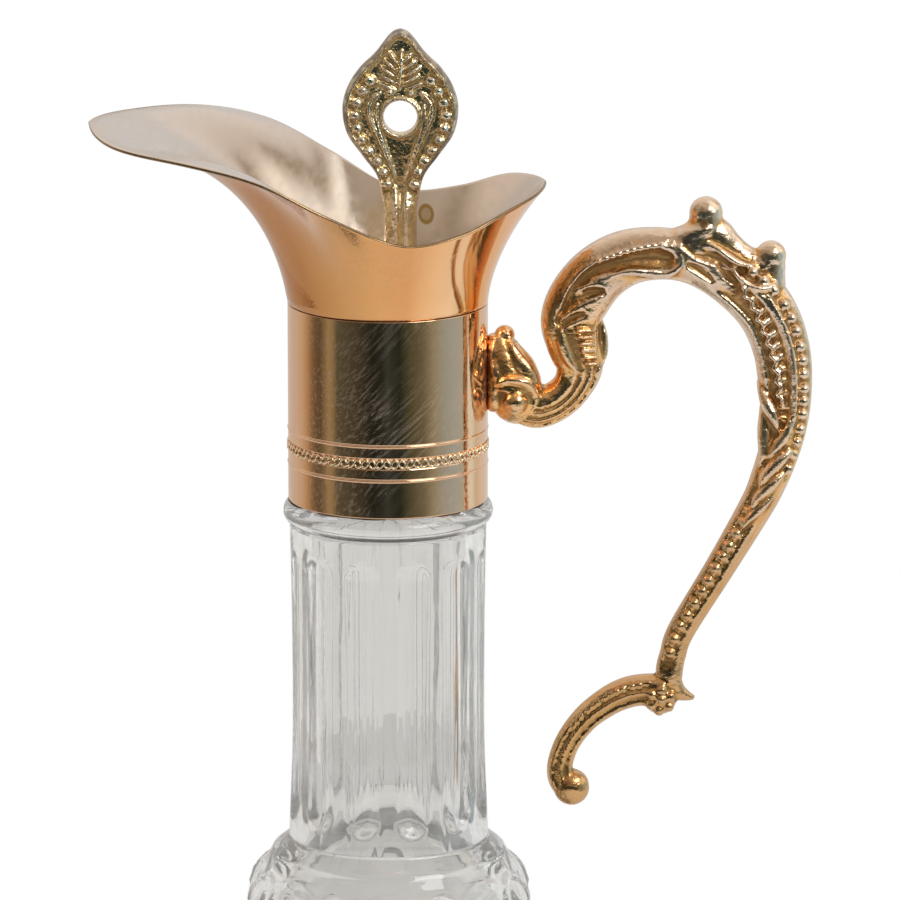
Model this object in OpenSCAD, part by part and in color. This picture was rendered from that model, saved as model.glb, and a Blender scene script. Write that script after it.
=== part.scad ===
// Claret jug: a pressed glass bottle with a plated metal collar, a bell-shaped
// pouring spout, a cast scroll handle and a lift-out stopper with a pierced finial.
// Millimetres. The origin is the centre of the foot, +Z up, +X towards the handle.

/* [Bottle] */
// Largest radius of the body
body_r = 47; // [43:0.5:52]
// Height of the body, from the table to the foot of the neck
body_h = 122; // [110:1:140]
// Radius of the foot
foot_r = 37.5; // [34:0.5:40]
// Thickness of the glass in the body
glass_wall = 5; // [4:0.25:6]
// Height of the glass floor above the table
glass_floor = 14; // [11:0.5:18]
// Radius of the neck at its waist
neck_r = 23.2; // [22.6:0.1:23.8]
// Length of the neck, from the body to the bead
neck_h = 78; // [65:1:95]
// Radius of the bore through the neck
neck_bore_r = 18.4; // [17:0.2:19]
// Height of the bead that the collar stands on
bead_h = 6; // [5:0.25:8]
// How far the bead stands out past the collar
bead_proud = 1.3; // [0.6:0.1:2]
// Number of flutes round the neck
flute_count = 12; // [8:1:14]
// Depth of each flute
flute_depth = 1.3; // [0.8:0.1:1.8]
// Number of round buttons on the shoulder
button_count = 8; // [6:1:12]
// Radius of each button
button_r = 6.6; // [5:0.2:7.2]
// Number of thumbprints in each ring round the body
print_count = 12; // [10:1:14]
// Depth of each thumbprint
print_depth = 1.8; // [1:0.1:2.4]
// Radius of the glass inside the collar
finish_r = 19.8; // [19:0.1:20]
// Radius of the mouth
mouth_r = 15.5; // [14:0.25:16]

/* [Collar] */
// Outer radius of the collar
collar_r = 24; // [23.8:0.1:26]
// Height of the collar
collar_h = 48; // [44:1:60]
// Thickness of the sheet of the collar and the spout
sheet = 0.8; // [0.6:0.05:1]
// Height of the middle of the rope band above the collar's lower edge
band_z = 13.5; // [10:0.5:16]
// Spacing of each rolled line from the middle of the rope band
line_gap = 4; // [3:0.25:5]
// How far down from the collar's top the glass mouth lies
mouth_drop = 6; // [5:0.25:8]
// Thickness of the seal on the mouth
seal_t = 2; // [1.5:0.25:3]

/* [Spout] */
// Reach of the spout's tip from the axis
spout_reach = 71.2; // [64:0.2:80]
// Reach of the lip over the handle from the axis
lip_reach = 38; // [35:0.5:42]
// Smallest reach of the rim, on each flank
flank_reach = 35.4; // [34:0.1:42]
// Height of the rim above the collar at its lowest, on each flank
flank_rise = 20; // [16:0.2:26]
// Height of the spout's tip above the collar
spout_rise = 43.2; // [38:0.2:50]

/* [Handle] */
// Reach of the handle out from the collar
handle_out = 78.1; // [70:0.5:88]
// Drop of the handle's tail below the collar's top
handle_drop = 124.9; // [112:0.1:130]
// Half width of the casting's side face where it is widest
handle_w = 7.4; // [7:0.1:8.2]
// Half thickness of the casting there
handle_t = 6; // [5:0.25:7]
// Radius of the handle's screws
screw_r = 1.5; // [1.25:0.25:2]
// Length of the handle's screws under the head
screw_l = 9; // [7:0.5:10]
// Thickness of the backing plate inside the collar
plate_t = 0.9; // [0.7:0.1:1.1]

/* [Stopper] */
// Height of the finial's top above the collar's top
finial_top = 67; // [62:1:76]
// Half width of the finial
finial_w = 13.8; // [12:0.2:16]
// Thickness of the finial
finial_t = 6.4; // [5.5:0.1:8]
// Radius of the eye through the finial
eye_r = 4; // [3.6:0.1:4.6]
// Radius of the finial's shank
shank_r = 3.9; // [3.6:0.1:4.4]
// How far the shank stands from the axis, towards the handle
shank_offset = 3.1; // [0:0.1:4]
// Radius of the stopper's metal cap
cap_r = 18.5; // [17.5:0.25:20]
// Thickness of the stopper's metal cap
cap_t = 1.2; // [0.8:0.1:1.8]
// Height of the cork
cork_h = 24; // [18:1:28]
// Radius of the stud through the cork
stud_r = 2.5; // [2:0.25:3]

/* [Hidden] */
$fn = 64;

// Clearances
fit = 0.05;        // between pieces that are fixed together
cork_play = 0.3;   // between the cork and the mouth
eps = 0.01;        // overrun of a cut past a face

// Heights of the stack
bead_z = body_h + neck_h;
collar_z = bead_z + bead_h;
seam_z = collar_z + collar_h;
mouth_z = seam_z - mouth_drop;
seal_z = mouth_z + seal_t;
collar_in = collar_r - sheet;
bead_r = collar_r + bead_proud;

// ---- curves ----

// The value at share t of the way from a to b
function lerp(a, b, t) = a + (b - a) * t;

// Point at t on the cubic Bezier curve through a and d, with handles b and c
function bezier(a, b, c, d, t) =
    pow(1 - t, 3) * a + 3 * pow(1 - t, 2) * t * b + 3 * (1 - t) * t * t * c + t * t * t * d;

// Point at u, from 0 to 1, between b and c on the smooth curve through a, b, c and d
function catmull(a, b, c, d, u) =
    0.5 * (2 * b + (c - a) * u + (2 * a - 5 * b + 4 * c - d) * u * u
           + (3 * b - a - 3 * c + d) * u * u * u);

// The smooth curve through all points, in n steps between each two
function spline(p, n) =
    let (last = len(p) - 1)
    [for (i = [0 : last - 1], k = [0 : n - 1])
         catmull(p[max(i - 1, 0)], p[i], p[i + 1], p[min(i + 2, last)], k / n),
     p[last]];

// Faces that join rings of equal length, with a flat end at each side
function ring_faces(rings, sides) =
    [for (i = [0 : rings - 2], j = [0 : sides - 1])
         let (a = i * sides + j, b = i * sides + (j + 1) % sides)
         each [[a, b + sides, b], [a, a + sides, b + sides]],
     [for (j = [0 : sides - 1]) j],
     [for (j = [0 : sides - 1]) rings * sides - 1 - j]];

// ---- glass ----

foot_h = 7;
waist_z = 14;
waist_r = foot_r - 5.5;
shoulder_r = neck_r + 11.3;
shoulder_z = body_h - 15;
neck_end_r = neck_r + 1;
neck_top_r = collar_r - 0.3;
bead_bulge = bead_h / 2;
finish_neck_h = 10;   // the stretch below the mouth's bore, where the bore widens
mouth_bore_h = 26;

// Outer outline of the body, from the foot up to the neck
body_outline = spline([
    [waist_r, waist_z], [lerp(waist_r, body_r, 0.62), body_h * 0.24], [body_r - 1.4, body_h * 0.38],
    [body_r, body_h * 0.5], [body_r - 3, body_h * 0.64], [lerp(shoulder_r, body_r, 0.35), body_h * 0.76],
    [shoulder_r - 0.6, body_h * 0.83]], 3);

// The rounded shoulder, which swells out from the foot of the neck
shoulder_outline = spline([
    [shoulder_r - 0.6, body_h * 0.83], [shoulder_r, shoulder_z], [shoulder_r - 1.4, body_h - 10.4],
    [shoulder_r - 4, body_h - 7], [neck_end_r + 3.4, body_h - 3], [neck_end_r, body_h]], 2);

neck_outline = spline([
    [neck_end_r, body_h], [neck_r + 0.1, body_h + neck_h * 0.3], [neck_r, body_h + neck_h * 0.5],
    [neck_r + 0.15, body_h + neck_h * 0.75], [neck_top_r, bead_z]], 2);

bead_outline = [for (a = [-80 : 20 : 80])
    [bead_r - bead_bulge + bead_bulge * cos(a), bead_z + bead_bulge + bead_bulge * sin(a)]];

// The cavity, from the floor up to the mouth
cavity_outline = concat(
    [[0, glass_floor]],
    spline([
        [waist_r - glass_wall - 8, glass_floor + 1.5], [waist_r - 1.5, glass_floor + 9],
        [body_r - glass_wall - 4, body_h * 0.34], [body_r - glass_wall, body_h * 0.5],
        [body_r - glass_wall - 4, body_h * 0.66], [shoulder_r - glass_wall, body_h * 0.83],
        [neck_bore_r + 3.5, body_h - 4], [neck_bore_r, body_h + 8]], 3),
    [[neck_bore_r, mouth_z - mouth_bore_h - finish_neck_h], [mouth_r, mouth_z - mouth_bore_h],
     [mouth_r, mouth_z]]);

glass_outline = concat(
    [[0, 0], [foot_r - 1.5, 0], [foot_r, 1.5], [foot_r, foot_h - 2.5], [foot_r - 1.2, foot_h]],
    body_outline, [for (i = [1 : len(shoulder_outline) - 1]) shoulder_outline[i]],
    [for (i = [1 : len(neck_outline) - 1]) neck_outline[i]], bead_outline,
    [[bead_r - bead_bulge, collar_z], [finish_r, collar_z], [finish_r, mouth_z]],
    [for (i = [len(cavity_outline) - 1 : -1 : 0]) cavity_outline[i]]);

flute_r = 6.8;                       // radius of the tool that hollows a flute
flute_reach = neck_r + flute_r - flute_depth;
flute_low = body_h + 10;
flute_high = bead_z - 10;

// The tool that hollows one flute, with a round top and bottom
module flute_tool() {
    translate([flute_reach, 0, flute_low]) {
        cylinder(r = flute_r, h = flute_high - flute_low);
        sphere(r = flute_r);
        translate([0, 0, flute_high - flute_low]) sphere(r = flute_r);
    }
}

print_r = 22;                        // radius of the ball that presses a thumbprint
prints_high_z = body_h * 0.61;
prints_low_z = body_h * 0.37;
prints_r = body_r - 1.8;             // the body's radius at both rings

// One ring of thumbprints, at height z, where the body's radius is r
module thumbprints(z, r, turn) {
    for (i = [0 : print_count - 1])
        rotate((i + turn) * 360 / print_count)
            translate([r + print_r - print_depth, 0, z]) sphere(r = print_r);
}

button_proud = 1.3;                  // how far a button stands out of the shoulder
button_z = body_h - 12.7;
button_seat_r = shoulder_r - 0.7;    // the shoulder's radius at the buttons

// The ring of round buttons on the shoulder
module shoulder_buttons() {
    for (i = [0 : button_count - 1])
        rotate((i + 0.5) * 360 / button_count)
            translate([button_seat_r - button_r + button_proud, 0, button_z]) sphere(r = button_r);
}

star_count = 16;
star_depth = 1;
star_inner = 8;

// The star pressed into the underside: grooves that run out from a plain middle
module base_star() {
    for (i = [0 : star_count - 1])
        rotate(i * 360 / star_count)
            translate([star_inner, 0, 0]) rotate([45, 0, 0])
                translate([0, -star_depth, -star_depth])
                    cube([foot_r - 6 - star_inner, 2 * star_depth, 2 * star_depth]);
}

module glass_bottle() {
    color([0.9, 0.94, 0.93, 0.35])
        difference() {
            union() {
                rotate_extrude() polygon(glass_outline);
                shoulder_buttons();
            }
            for (i = [0 : flute_count - 1])
                rotate((i + 0.5) * 360 / flute_count) flute_tool();
            thumbprints(prints_high_z, prints_r, 0);
            thumbprints(prints_low_z, prints_r, 0.5);
            base_star();
        }
}

// ---- collar and what it is bedded on ----

plate_low = seam_z - 27;
plate_high = seal_z - 2;
plate_half = 9;                      // half width of the backing plate
screw_z = [seam_z - 11, seam_z - 22];
head_r = screw_r * 1.9;
head_h = screw_r * 1.1;
head_x = sqrt(pow(collar_in - fit - plate_t, 2) - pow(head_r, 2));   // where the flat of a head bears

// A hole along X through the handle side of the collar, at each screw
module screw_holes(r, from, to) {
    for (z = screw_z)
        translate([from, 0, z]) rotate([0, 90, 0]) cylinder(r = r, h = to - from);
}

line_r = 0.35;                       // half height of a rolled line
line_proud = 0.25;

collar_outline = [
    [collar_in, collar_z], [collar_r, collar_z],
    [collar_r, collar_z + band_z - line_gap - line_r], [collar_r + line_proud, collar_z + band_z - line_gap],
    [collar_r, collar_z + band_z - line_gap + line_r],
    [collar_r, collar_z + band_z - 1.1], [collar_r + line_proud, collar_z + band_z - 0.7],
    [collar_r + line_proud, collar_z + band_z + 0.7], [collar_r, collar_z + band_z + 1.1],
    [collar_r, collar_z + band_z + line_gap - line_r], [collar_r + line_proud, collar_z + band_z + line_gap],
    [collar_r, collar_z + band_z + line_gap + line_r],
    [collar_r, seam_z], [collar_in, seam_z]];

module collar() {
    color([0.78, 0.6, 0.45])
        difference() {
            rotate_extrude() polygon(collar_outline);
            screw_holes(screw_r + 2 * fit, collar_in - 2, collar_r + 1);
        }
}

// The curved plate that spreads the pull of the handle's screws inside the collar
module backing_plate() {
    color("silver")
        difference() {
            intersection() {
                translate([0, 0, plate_low])
                    cylinder(r = collar_in - fit, h = plate_high - plate_low);
                translate([0, -plate_half, plate_low])
                    cube([collar_r, 2 * plate_half, plate_high - plate_low]);
            }
            translate([0, 0, plate_low - 1])
                cylinder(r = collar_in - fit - plate_t, h = plate_high - plate_low + 2);
            screw_holes(screw_r + 2 * fit, collar_in - 6, collar_r);
        }
}

module handle_screws() {
    color("silver")
        for (z = screw_z)
            translate([head_x, 0, z]) rotate([0, 90, 0]) {
                cylinder(r = screw_r, h = screw_l);
                translate([0, 0, -head_h])
                    difference() {
                        cylinder(r = head_r, h = head_h);
                        translate([-head_r, -0.3, -eps]) cube([2 * head_r, 0.6, head_h * 0.5]);
                    }
            }
}

// The plaster that beds the collar on the glass
module neck_cement() {
    pocket = plate_half + 0.3;
    color("white")
        difference() {
            translate([0, 0, collar_z + 0.5])
                cylinder(r = collar_in - fit, h = mouth_z - collar_z - 0.5);
            translate([0, 0, collar_z]) cylinder(r = finish_r + fit, h = collar_h);
            translate([head_x - head_h - 0.3, -pocket, plate_low - 0.3])
                cube([collar_r, 2 * pocket, plate_high - plate_low + 0.6]);
        }
}

// The ring that seals the mouth to the spout and seats the stopper
module throat_seal() {
    color([0.85, 0.82, 0.76])
        translate([0, 0, mouth_z])
            difference() {
                cylinder(r = collar_in - fit, h = seal_t);
                translate([0, 0, -1]) cylinder(r = mouth_r, h = seal_t + 2);
            }
}

// ---- spout ----

bell_steps = 11;
lip_rise = spout_rise * 0.67;

// The rim from the tip, round one flank, to the lip: angle from the tip, reach and height above the collar.
// Then the lower and the upper handle of the bell's outline there, each as a share of the way out from
// the collar and a share of the way up: the tip flares late, and the flanks are almost straight.
rim_line = [
    [0, spout_reach, spout_rise, 0.064, 0.454, 0.316, 0.888],
    [20, spout_reach - 2.5, spout_rise - 1.7, 0.066, 0.46, 0.33, 0.93],
    [40, spout_reach - 10.4, spout_rise - 3.1, 0.073, 0.484, 0.365, 1],
    [55, lerp(flank_reach, spout_reach, 0.478), spout_rise - 6.8, 0.1, 0.46, 0.45, 0.9],
    [70, lerp(flank_reach, spout_reach, 0.26), lerp(flank_rise, spout_rise, 0.385), 0.17, 0.4, 0.56, 0.76],
    [85, flank_reach + 1.5, flank_rise + 2.5, 0.23, 0.36, 0.62, 0.68],
    [100, flank_reach, flank_rise, 0.24, 0.35, 0.63, 0.66],
    [120, flank_reach + 0.4, flank_rise + 2, 0.17, 0.32, 0.54, 0.66],
    [145, lip_reach - 0.9, lip_rise - 2.1, 0.08, 0.29, 0.43, 0.66],
    [180, lip_reach, lip_rise, 0.036, 0.27, 0.39, 0.66]];

// The rim all the way round, with the other flank as its mirror image
rim_half = spline(rim_line, 4);
rim_loop = concat(rim_half,
    [for (i = [len(rim_half) - 2 : -1 : 1])
         [for (k = [0 : 6]) k == 0 ? 360 - rim_half[i][0] : rim_half[i][k]]]);

// The bell's outline towards the rim's place p: radius and height above the collar's top at t
function bell(p, t) =
    let (out = p[1] - collar_r)
    bezier([collar_r, 0], [collar_r + out * p[3], p[2] * p[4]], [collar_r + out * p[5], p[2] * p[6]],
           [p[1], p[2]], t);

// The direction square to the bell's outline at t, pointing inwards
function bell_inward(p, t) =
    let (d = bell(p, min(t + 0.01, 1)) - bell(p, max(t - 0.01, 0)))
    [-d[1], d[0]] / norm(d);

// One slice of the sheet towards the rim's place p: up the outside from the spigot, and down the inside
function spout_slice(p) =
    let (outer = [for (i = [0 : bell_steps]) bell(p, i / bell_steps)],
         inner = [for (i = [bell_steps : -1 : 1])
                      bell(p, i / bell_steps) + sheet * bell_inward(p, i / bell_steps)],
         spigot = collar_in - fit, drop = seal_z - seam_z)
    [for (q = concat([[spigot - sheet, drop], [spigot, drop], [spigot, 0]], outer, inner,
                     [[spigot - sheet, 0.6]]))
         [-q[0] * cos(p[0]), -q[0] * sin(p[0]), seam_z + q[1]]];

module spout() {
    slices = [for (p = rim_loop) spout_slice(p)];
    sides = len(slices);
    n = len(slices[0]);
    points = [for (s = slices) each s];
    faces = [for (i = [0 : sides - 1], j = [0 : n - 1])
                 let (a = i * n + j, b = i * n + (j + 1) % n,
                      c = (i + 1) % sides * n + (j + 1) % n, d = (i + 1) % sides * n + j)
                 each [[a, b, c], [a, c, d]]];
    color([0.85, 0.62, 0.45]) polyhedron(points, faces);
}

// ---- handle ----

// The scroll's middle line and half width: distance out from the collar, height from its top, half width
scroll = [
    [9, -25.9, 4.9], [12.6, -25.7, 5.1], [16.6, -24.3, 4.8], [20.2, -20.8, 4.8], [21.9, -15.8, 5.7],
    [20.4, -9.8, 6.5], [19.7, -4.3, 7.1], [22.2, 1.4, 7.4], [26.6, 6.8, 7.1], [32.4, 10.4, 6.7], [39, 11.7, 6.3],
    [46.5, 11.2, 6.1], [53.5, 8.8, 6.5], [60, 4.6, 6.9], [65.4, -0.6, 7.1], [68.7, -5.8, 7],
    [71.2, -18, 6.6], [71.5, -25, 6], [71.1, -31, 5.4], [70, -36.6, 4.9], [67.5, -44, 4.5],
    [64.5, -50.6, 4.1], [56, -65.6, 3.6], [46.9, -81, 3.3], [44.8, -87.2, 3.2], [44.2, -92.4, 3.7]];

// The tail that turns back towards the neck, to its curled end
tail = [
    [42.8, -96.4, 4.2], [37.4, -96.1, 3.9], [33.2, -97, 3.8], [29, -99.1, 3.6], [23.8, -103.2, 3.3],
    [19.6, -108.9, 3.1], [17.6, -114.8, 3.1], [18.2, -118.6, 3.4], [20, -120.4, 3.4]];

scroll_out = 71.2 + 6.9;             // the reach that the points above are drawn at
scroll_drop = 124.9;                 // the drop that they are drawn at
scroll_w = 7.4;                      // the widest half width that they are drawn at
out_scale = handle_out / scroll_out;
drop_scale = handle_drop / scroll_drop;
width_scale = handle_w / scroll_w;

// A drawn point as a place in the part
function placed(p) = [collar_r + p[0] * out_scale, seam_z + p[1] * drop_scale];

section_sides = 12;

// One section of the casting, square to the middle line: a rounded oblong
function section(at, along, w, t) =
    let (across = [along[1], -along[0]] / norm(along))
    [for (j = [0 : section_sides - 1])
         let (u = j * 360 / section_sides,
              a = w * sign(cos(u)) * pow(abs(cos(u)), 0.8),
              b = t * sign(sin(u)) * pow(abs(sin(u)), 0.8))
         [at[0] + across[0] * a, b, at[1] + across[1] * a]];

// A casting swept along drawn points, as thick as its width calls for
module limb(points, steps) {
    line = spline(points, steps);
    last = len(line) - 1;
    rings = [for (i = [0 : last])
        let (at = placed(line[i]), along = placed(line[min(i + 1, last)]) - placed(line[max(i - 1, 0)]))
        section(at, along, line[i][2] * width_scale, handle_t * pow(line[i][2] / scroll_w, 0.8))];
    polyhedron([for (r = rings) each r], ring_faces(len(rings), section_sides));
}

// A ball at a drawn point
module ball(p, r) {
    q = placed(p);
    translate([q[0], 0, q[1]]) sphere(r = r * width_scale, $fn = 20);
}

// The root: a leaf and a curl that lie against the collar
module handle_root() {
    hull() {
        ball([4.2, -9.6], 2.5);
        ball([4.6, -17], 4.6);
        ball([9, -18.5], 3);
    }
    hull() {
        ball([2.5, -14], 3.8);
        ball([2.5, -20.5], 3.8);
    }
    ball([7, -23.6], 6.3);
}

// The thumb rest: two knobs joined by a ridge
module thumb_rest() {
    hull() {
        ball([52.3, 21.6], 4);
        ball([49.5, 13], 5);
    }
    hull() {
        ball([67.7, 10.9], 3.7);
        ball([62, 5], 5);
    }
    hull() {
        ball([53.5, 14.5], 3.6);
        ball([64, 8.6], 3.4);
    }
}

// The knuckle where the tail turns back, with its thorn
module knuckle() {
    ball([41.9, -98], 4.1);
    hull() {
        ball([44.4, -94], 3.2);
        ball([49.9, -97], 1);
    }
}

module handle() {
    color([0.82, 0.55, 0.33])
        difference() {
            union() {
                limb(scroll, 3);
                limb(tail, 3);
                handle_root();
                thumb_rest();
                knuckle();
                ball([20.4, -120.4], 4.5);
            }
            translate([0, 0, seam_z - collar_h]) cylinder(r = collar_r + fit, h = collar_h);
            screw_holes(screw_r + fit, collar_r - 4, head_x + screw_l + 0.5);
        }
}

// ---- stopper ----

cork_low = seal_z - cork_h;
cap_top = seal_z + cap_t;
boss_h = 2;
shank_low = cap_top + boss_h;
washer_t = 1.2;
nut_h = 4;
stud_low = cork_low - washer_t - nut_h - 1;
stud_high = shank_low + 9;
eye_z = seam_z + finial_top - 22;
leaf_z = seam_z + finial_top - 43;   // where the leaf grows out of the shank

// Right half of the finial's outline, from its foot up to its point: half width and height
leaf_half = spline([
    [shank_r, leaf_z], [shank_r + 1.6, leaf_z + 6.5], [finial_w * 0.65, leaf_z + 11.5],
    [finial_w * 0.92, leaf_z + 17], [finial_w, leaf_z + 23], [finial_w * 0.915, leaf_z + 28],
    [finial_w * 0.715, leaf_z + 32.5], [finial_w * 0.425, leaf_z + 36.6], [finial_w * 0.23, leaf_z + 40.6],
    [0, leaf_z + 43]], 3);

module finial() {
    color([0.72, 0.62, 0.42])
        translate([shank_offset, 0, 0])
            difference() {
                union() {
                    rotate([90, 0, 0]) translate([0, 0, -finial_t / 2])
                        linear_extrude(height = finial_t)
                            polygon(concat(leaf_half,
                                [for (i = [len(leaf_half) - 2 : -1 : 0]) [-leaf_half[i][0], leaf_half[i][1]]]));
                    translate([0, 0, shank_low]) cylinder(r = shank_r, h = leaf_z + 8 - shank_low);
                }
                translate([0, finial_t, eye_z]) rotate([90, 0, 0]) cylinder(r = eye_r, h = 2 * finial_t);
                translate([0, 0, shank_low - 1]) cylinder(r = stud_r + fit, h = stud_high - shank_low + 1.5);
            }
}

module stopper_cap() {
    color([0.7, 0.6, 0.42])
        difference() {
            translate([0, 0, seal_z]) {
                cylinder(r = cap_r, h = cap_t);
                translate([shank_offset, 0, 0]) cylinder(r = shank_r + 1.6, h = cap_t + boss_h);
            }
            translate([shank_offset, 0, seal_z - 1]) cylinder(r = stud_r + fit, h = cap_t + boss_h + 2);
        }
}

module stopper_cork() {
    color([0.76, 0.6, 0.42])
        difference() {
            rotate_extrude() polygon([
                [0, cork_low], [mouth_r - cork_play - 1.2, cork_low], [mouth_r - cork_play, cork_low + 8],
                [mouth_r - cork_play, seal_z], [0, seal_z]]);
            translate([shank_offset, 0, cork_low - 1]) cylinder(r = stud_r + fit, h = cork_h + 2);
        }
}

module stopper_stud() {
    color("silver")
        translate([shank_offset, 0, stud_low]) cylinder(r = stud_r, h = stud_high - stud_low);
}

module stopper_washer() {
    color("silver")
        translate([shank_offset, 0, cork_low - washer_t])
            difference() {
                cylinder(r = 3.2 * stud_r, h = washer_t);
                translate([0, 0, -1]) cylinder(r = stud_r + fit, h = washer_t + 2);
            }
}

module stopper_nut() {
    color("silver")
        translate([shank_offset, 0, cork_low - washer_t - nut_h])
            difference() {
                cylinder(r = 1.85 * stud_r, h = nut_h, $fn = 6);
                translate([0, 0, -1]) cylinder(r = stud_r + fit, h = nut_h + 2);
            }
}

glass_bottle();
neck_cement();
throat_seal();
collar();
spout();
handle();
backing_plate();
handle_screws();
finial();
stopper_cap();
stopper_cork();
stopper_stud();
stopper_washer();
stopper_nut();
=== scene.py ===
"""Dresses the claret jug: pressed glass, a plated collar and spout, a cast scroll handle
and a stopper with a pierced finial, on a plain pale table in soft light.

Sizes are in millimetres until a piece is finished, and in metres from there on. +Z is up,
+X points to the handle, and the origin is the centre of the foot.
"""

import logging
from collections.abc import Callable, Sequence
from dataclasses import dataclass, field
from enum import Enum
from itertools import accumulate
from math import atan2, copysign, cos, degrees, dist, exp, hypot, pi, radians, remainder, sin, sqrt, tau

import bmesh
import bpy
import numpy as np
from bmesh.types import BMesh, BMVert
from bpy.types import ID, Material, Mesh, Node, NodeSocket, Object, World
from mathutils import Matrix, Vector, noise


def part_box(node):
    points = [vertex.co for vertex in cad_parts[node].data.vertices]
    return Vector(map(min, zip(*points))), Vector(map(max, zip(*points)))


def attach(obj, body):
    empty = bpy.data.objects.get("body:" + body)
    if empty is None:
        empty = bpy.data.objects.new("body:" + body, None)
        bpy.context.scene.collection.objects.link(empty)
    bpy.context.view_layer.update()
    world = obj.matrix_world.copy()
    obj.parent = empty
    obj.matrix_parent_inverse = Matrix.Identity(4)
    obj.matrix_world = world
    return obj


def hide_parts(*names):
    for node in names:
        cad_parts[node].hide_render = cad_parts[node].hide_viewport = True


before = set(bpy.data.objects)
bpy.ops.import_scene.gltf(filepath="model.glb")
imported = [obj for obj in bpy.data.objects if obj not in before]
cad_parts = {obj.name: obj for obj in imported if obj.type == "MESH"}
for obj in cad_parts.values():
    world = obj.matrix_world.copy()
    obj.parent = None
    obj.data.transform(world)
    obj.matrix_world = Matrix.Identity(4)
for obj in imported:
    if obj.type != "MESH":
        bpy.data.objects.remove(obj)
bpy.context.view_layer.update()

LOG = logging.getLogger("claret_jug")
MM = 0.001
SIDES = (-1, 1)
SECTORS = 12
TURNED = {"cent": (0, 0, 0), "axis": (0, 0, 1), "dvec": (0, 0, 0)}
Point = tuple[float, ...]
Points = Sequence[Point]


# ---- curves ----


def smooth(points: Points, steps: int) -> list[Point]:
    """Draws the smooth curve through points, with so many steps between each two."""
    last = len(points) - 1
    drawn = []
    for i in range(last):
        corners = [points[max(i - 1, 0)], points[i], points[i + 1], points[min(i + 2, last)]]
        for u in (k / steps for k in range(steps)):
            drawn.append(tuple(
                0.5 * (2 * b + (c - a) * u + (2 * a - 5 * b + 4 * c - d) * u * u
                       + (3 * b - a - 3 * c + d) * u**3)
                for a, b, c, d in zip(*corners)))
    return [*drawn, tuple(points[last])]


def lengths(points: Points) -> list[float]:
    """Measures how far along a line each point lies, on the first two coordinates."""
    return [0.0, *accumulate(dist(a[:2], b[:2]) for a, b in zip(points, points[1:]))]


def evenly(points: Points, step: float) -> list[Point]:
    """Places points about one step apart along a line, and keeps its two ends."""
    reach = lengths(points)
    targets = np.linspace(0, reach[-1], max(1, round(reach[-1] / step)) + 1)
    return list(zip(*(np.interp(targets, reach, column).tolist() for column in zip(*points))))


def bezier(points: Points, t: float) -> Point:
    """Gives the point at t on the cubic curve with these four points."""
    weights = ((1 - t) ** 3, 3 * (1 - t) ** 2 * t, 3 * (1 - t) * t * t, t**3)
    return tuple(sum(w * c for w, c in zip(weights, column)) for column in zip(*points))


def leftward(line: Points, k: int) -> Vector:
    """Gives the direction to the left of a line's course in the XZ plane, at its point k."""
    (x0, z0), (x1, z1) = line[max(k - 1, 0)][:2], line[min(k + 1, len(line) - 1)][:2]
    return Vector((z0 - z1, 0, x1 - x0)).normalized()


def circle(count: int) -> list[tuple[float, float]]:
    """Gives the cosine and the sine of each of so many equal steps in a turn."""
    return [(cos(a), sin(a)) for a in (tau * k / count for k in range(count))]


def ease(low: float, high: float, value: float) -> float:
    """Rises smoothly from 0 at low to 1 at high."""
    t = min(max((value - low) / (high - low), 0.0), 1.0)
    return t * t * (3 - 2 * t)


def plateau(low: float, full: float, turn: float, end: float, value: float) -> float:
    """Rises from 0 at low to 1 at full, and falls back from turn to 0 at the end."""
    return ease(low, full, value) * ease(end, turn, value)


def hump(value: float, centre: float, half: float) -> float:
    """Gives a round hump: 1 at the centre, and 0 from half away."""
    return cos(min(abs(value - centre) / half, 1.0) * pi / 2) ** 2


def soft_min(a: float, b: float, blend: float) -> float:
    """Gives the smaller of two values, rounded where they are about equal."""
    h = max(blend - abs(a - b), 0.0) / blend
    return min(a, b) - h * h * blend / 4


# ---- heights that the pieces share, from the frame ----


def height(node: str, top: bool) -> float:
    """Gives the height of a node's top or bottom, in millimetres."""
    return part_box(node)[1 if top else 0].z / MM


SEAM = height("collar", True)
COLLAR_FOOT = height("collar", False)
MOUTH = height("glass_bottle", True)
FINIAL_TOP = height("finial", True)
SHANK_FOOT = height("finial", False)
COLLAR_R = 24.0
SHEET = 0.8
SUNK = 0.35
SEAT = Vector((0, 0, SEAM))


# ---- mesh shaping ----


def in_scene(name: str, data: ID) -> Object:
    """Makes an object of a mesh, a lamp or a camera, and adds it to the scene."""
    made = bpy.data.objects.new(name, data)
    bpy.context.scene.collection.objects.link(made)
    return made


def only_verts(geometry: Sequence[object]) -> list[BMVert]:
    """Picks the vertices out of what an operator returns."""
    return [g for g in geometry if isinstance(g, BMVert)]


def polar(vert: BMVert) -> tuple[float, float, float]:
    """Gives a vertex's radius, angle and height."""
    x, y, z = vert.co
    return hypot(x, y), atan2(y, x), z


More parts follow.
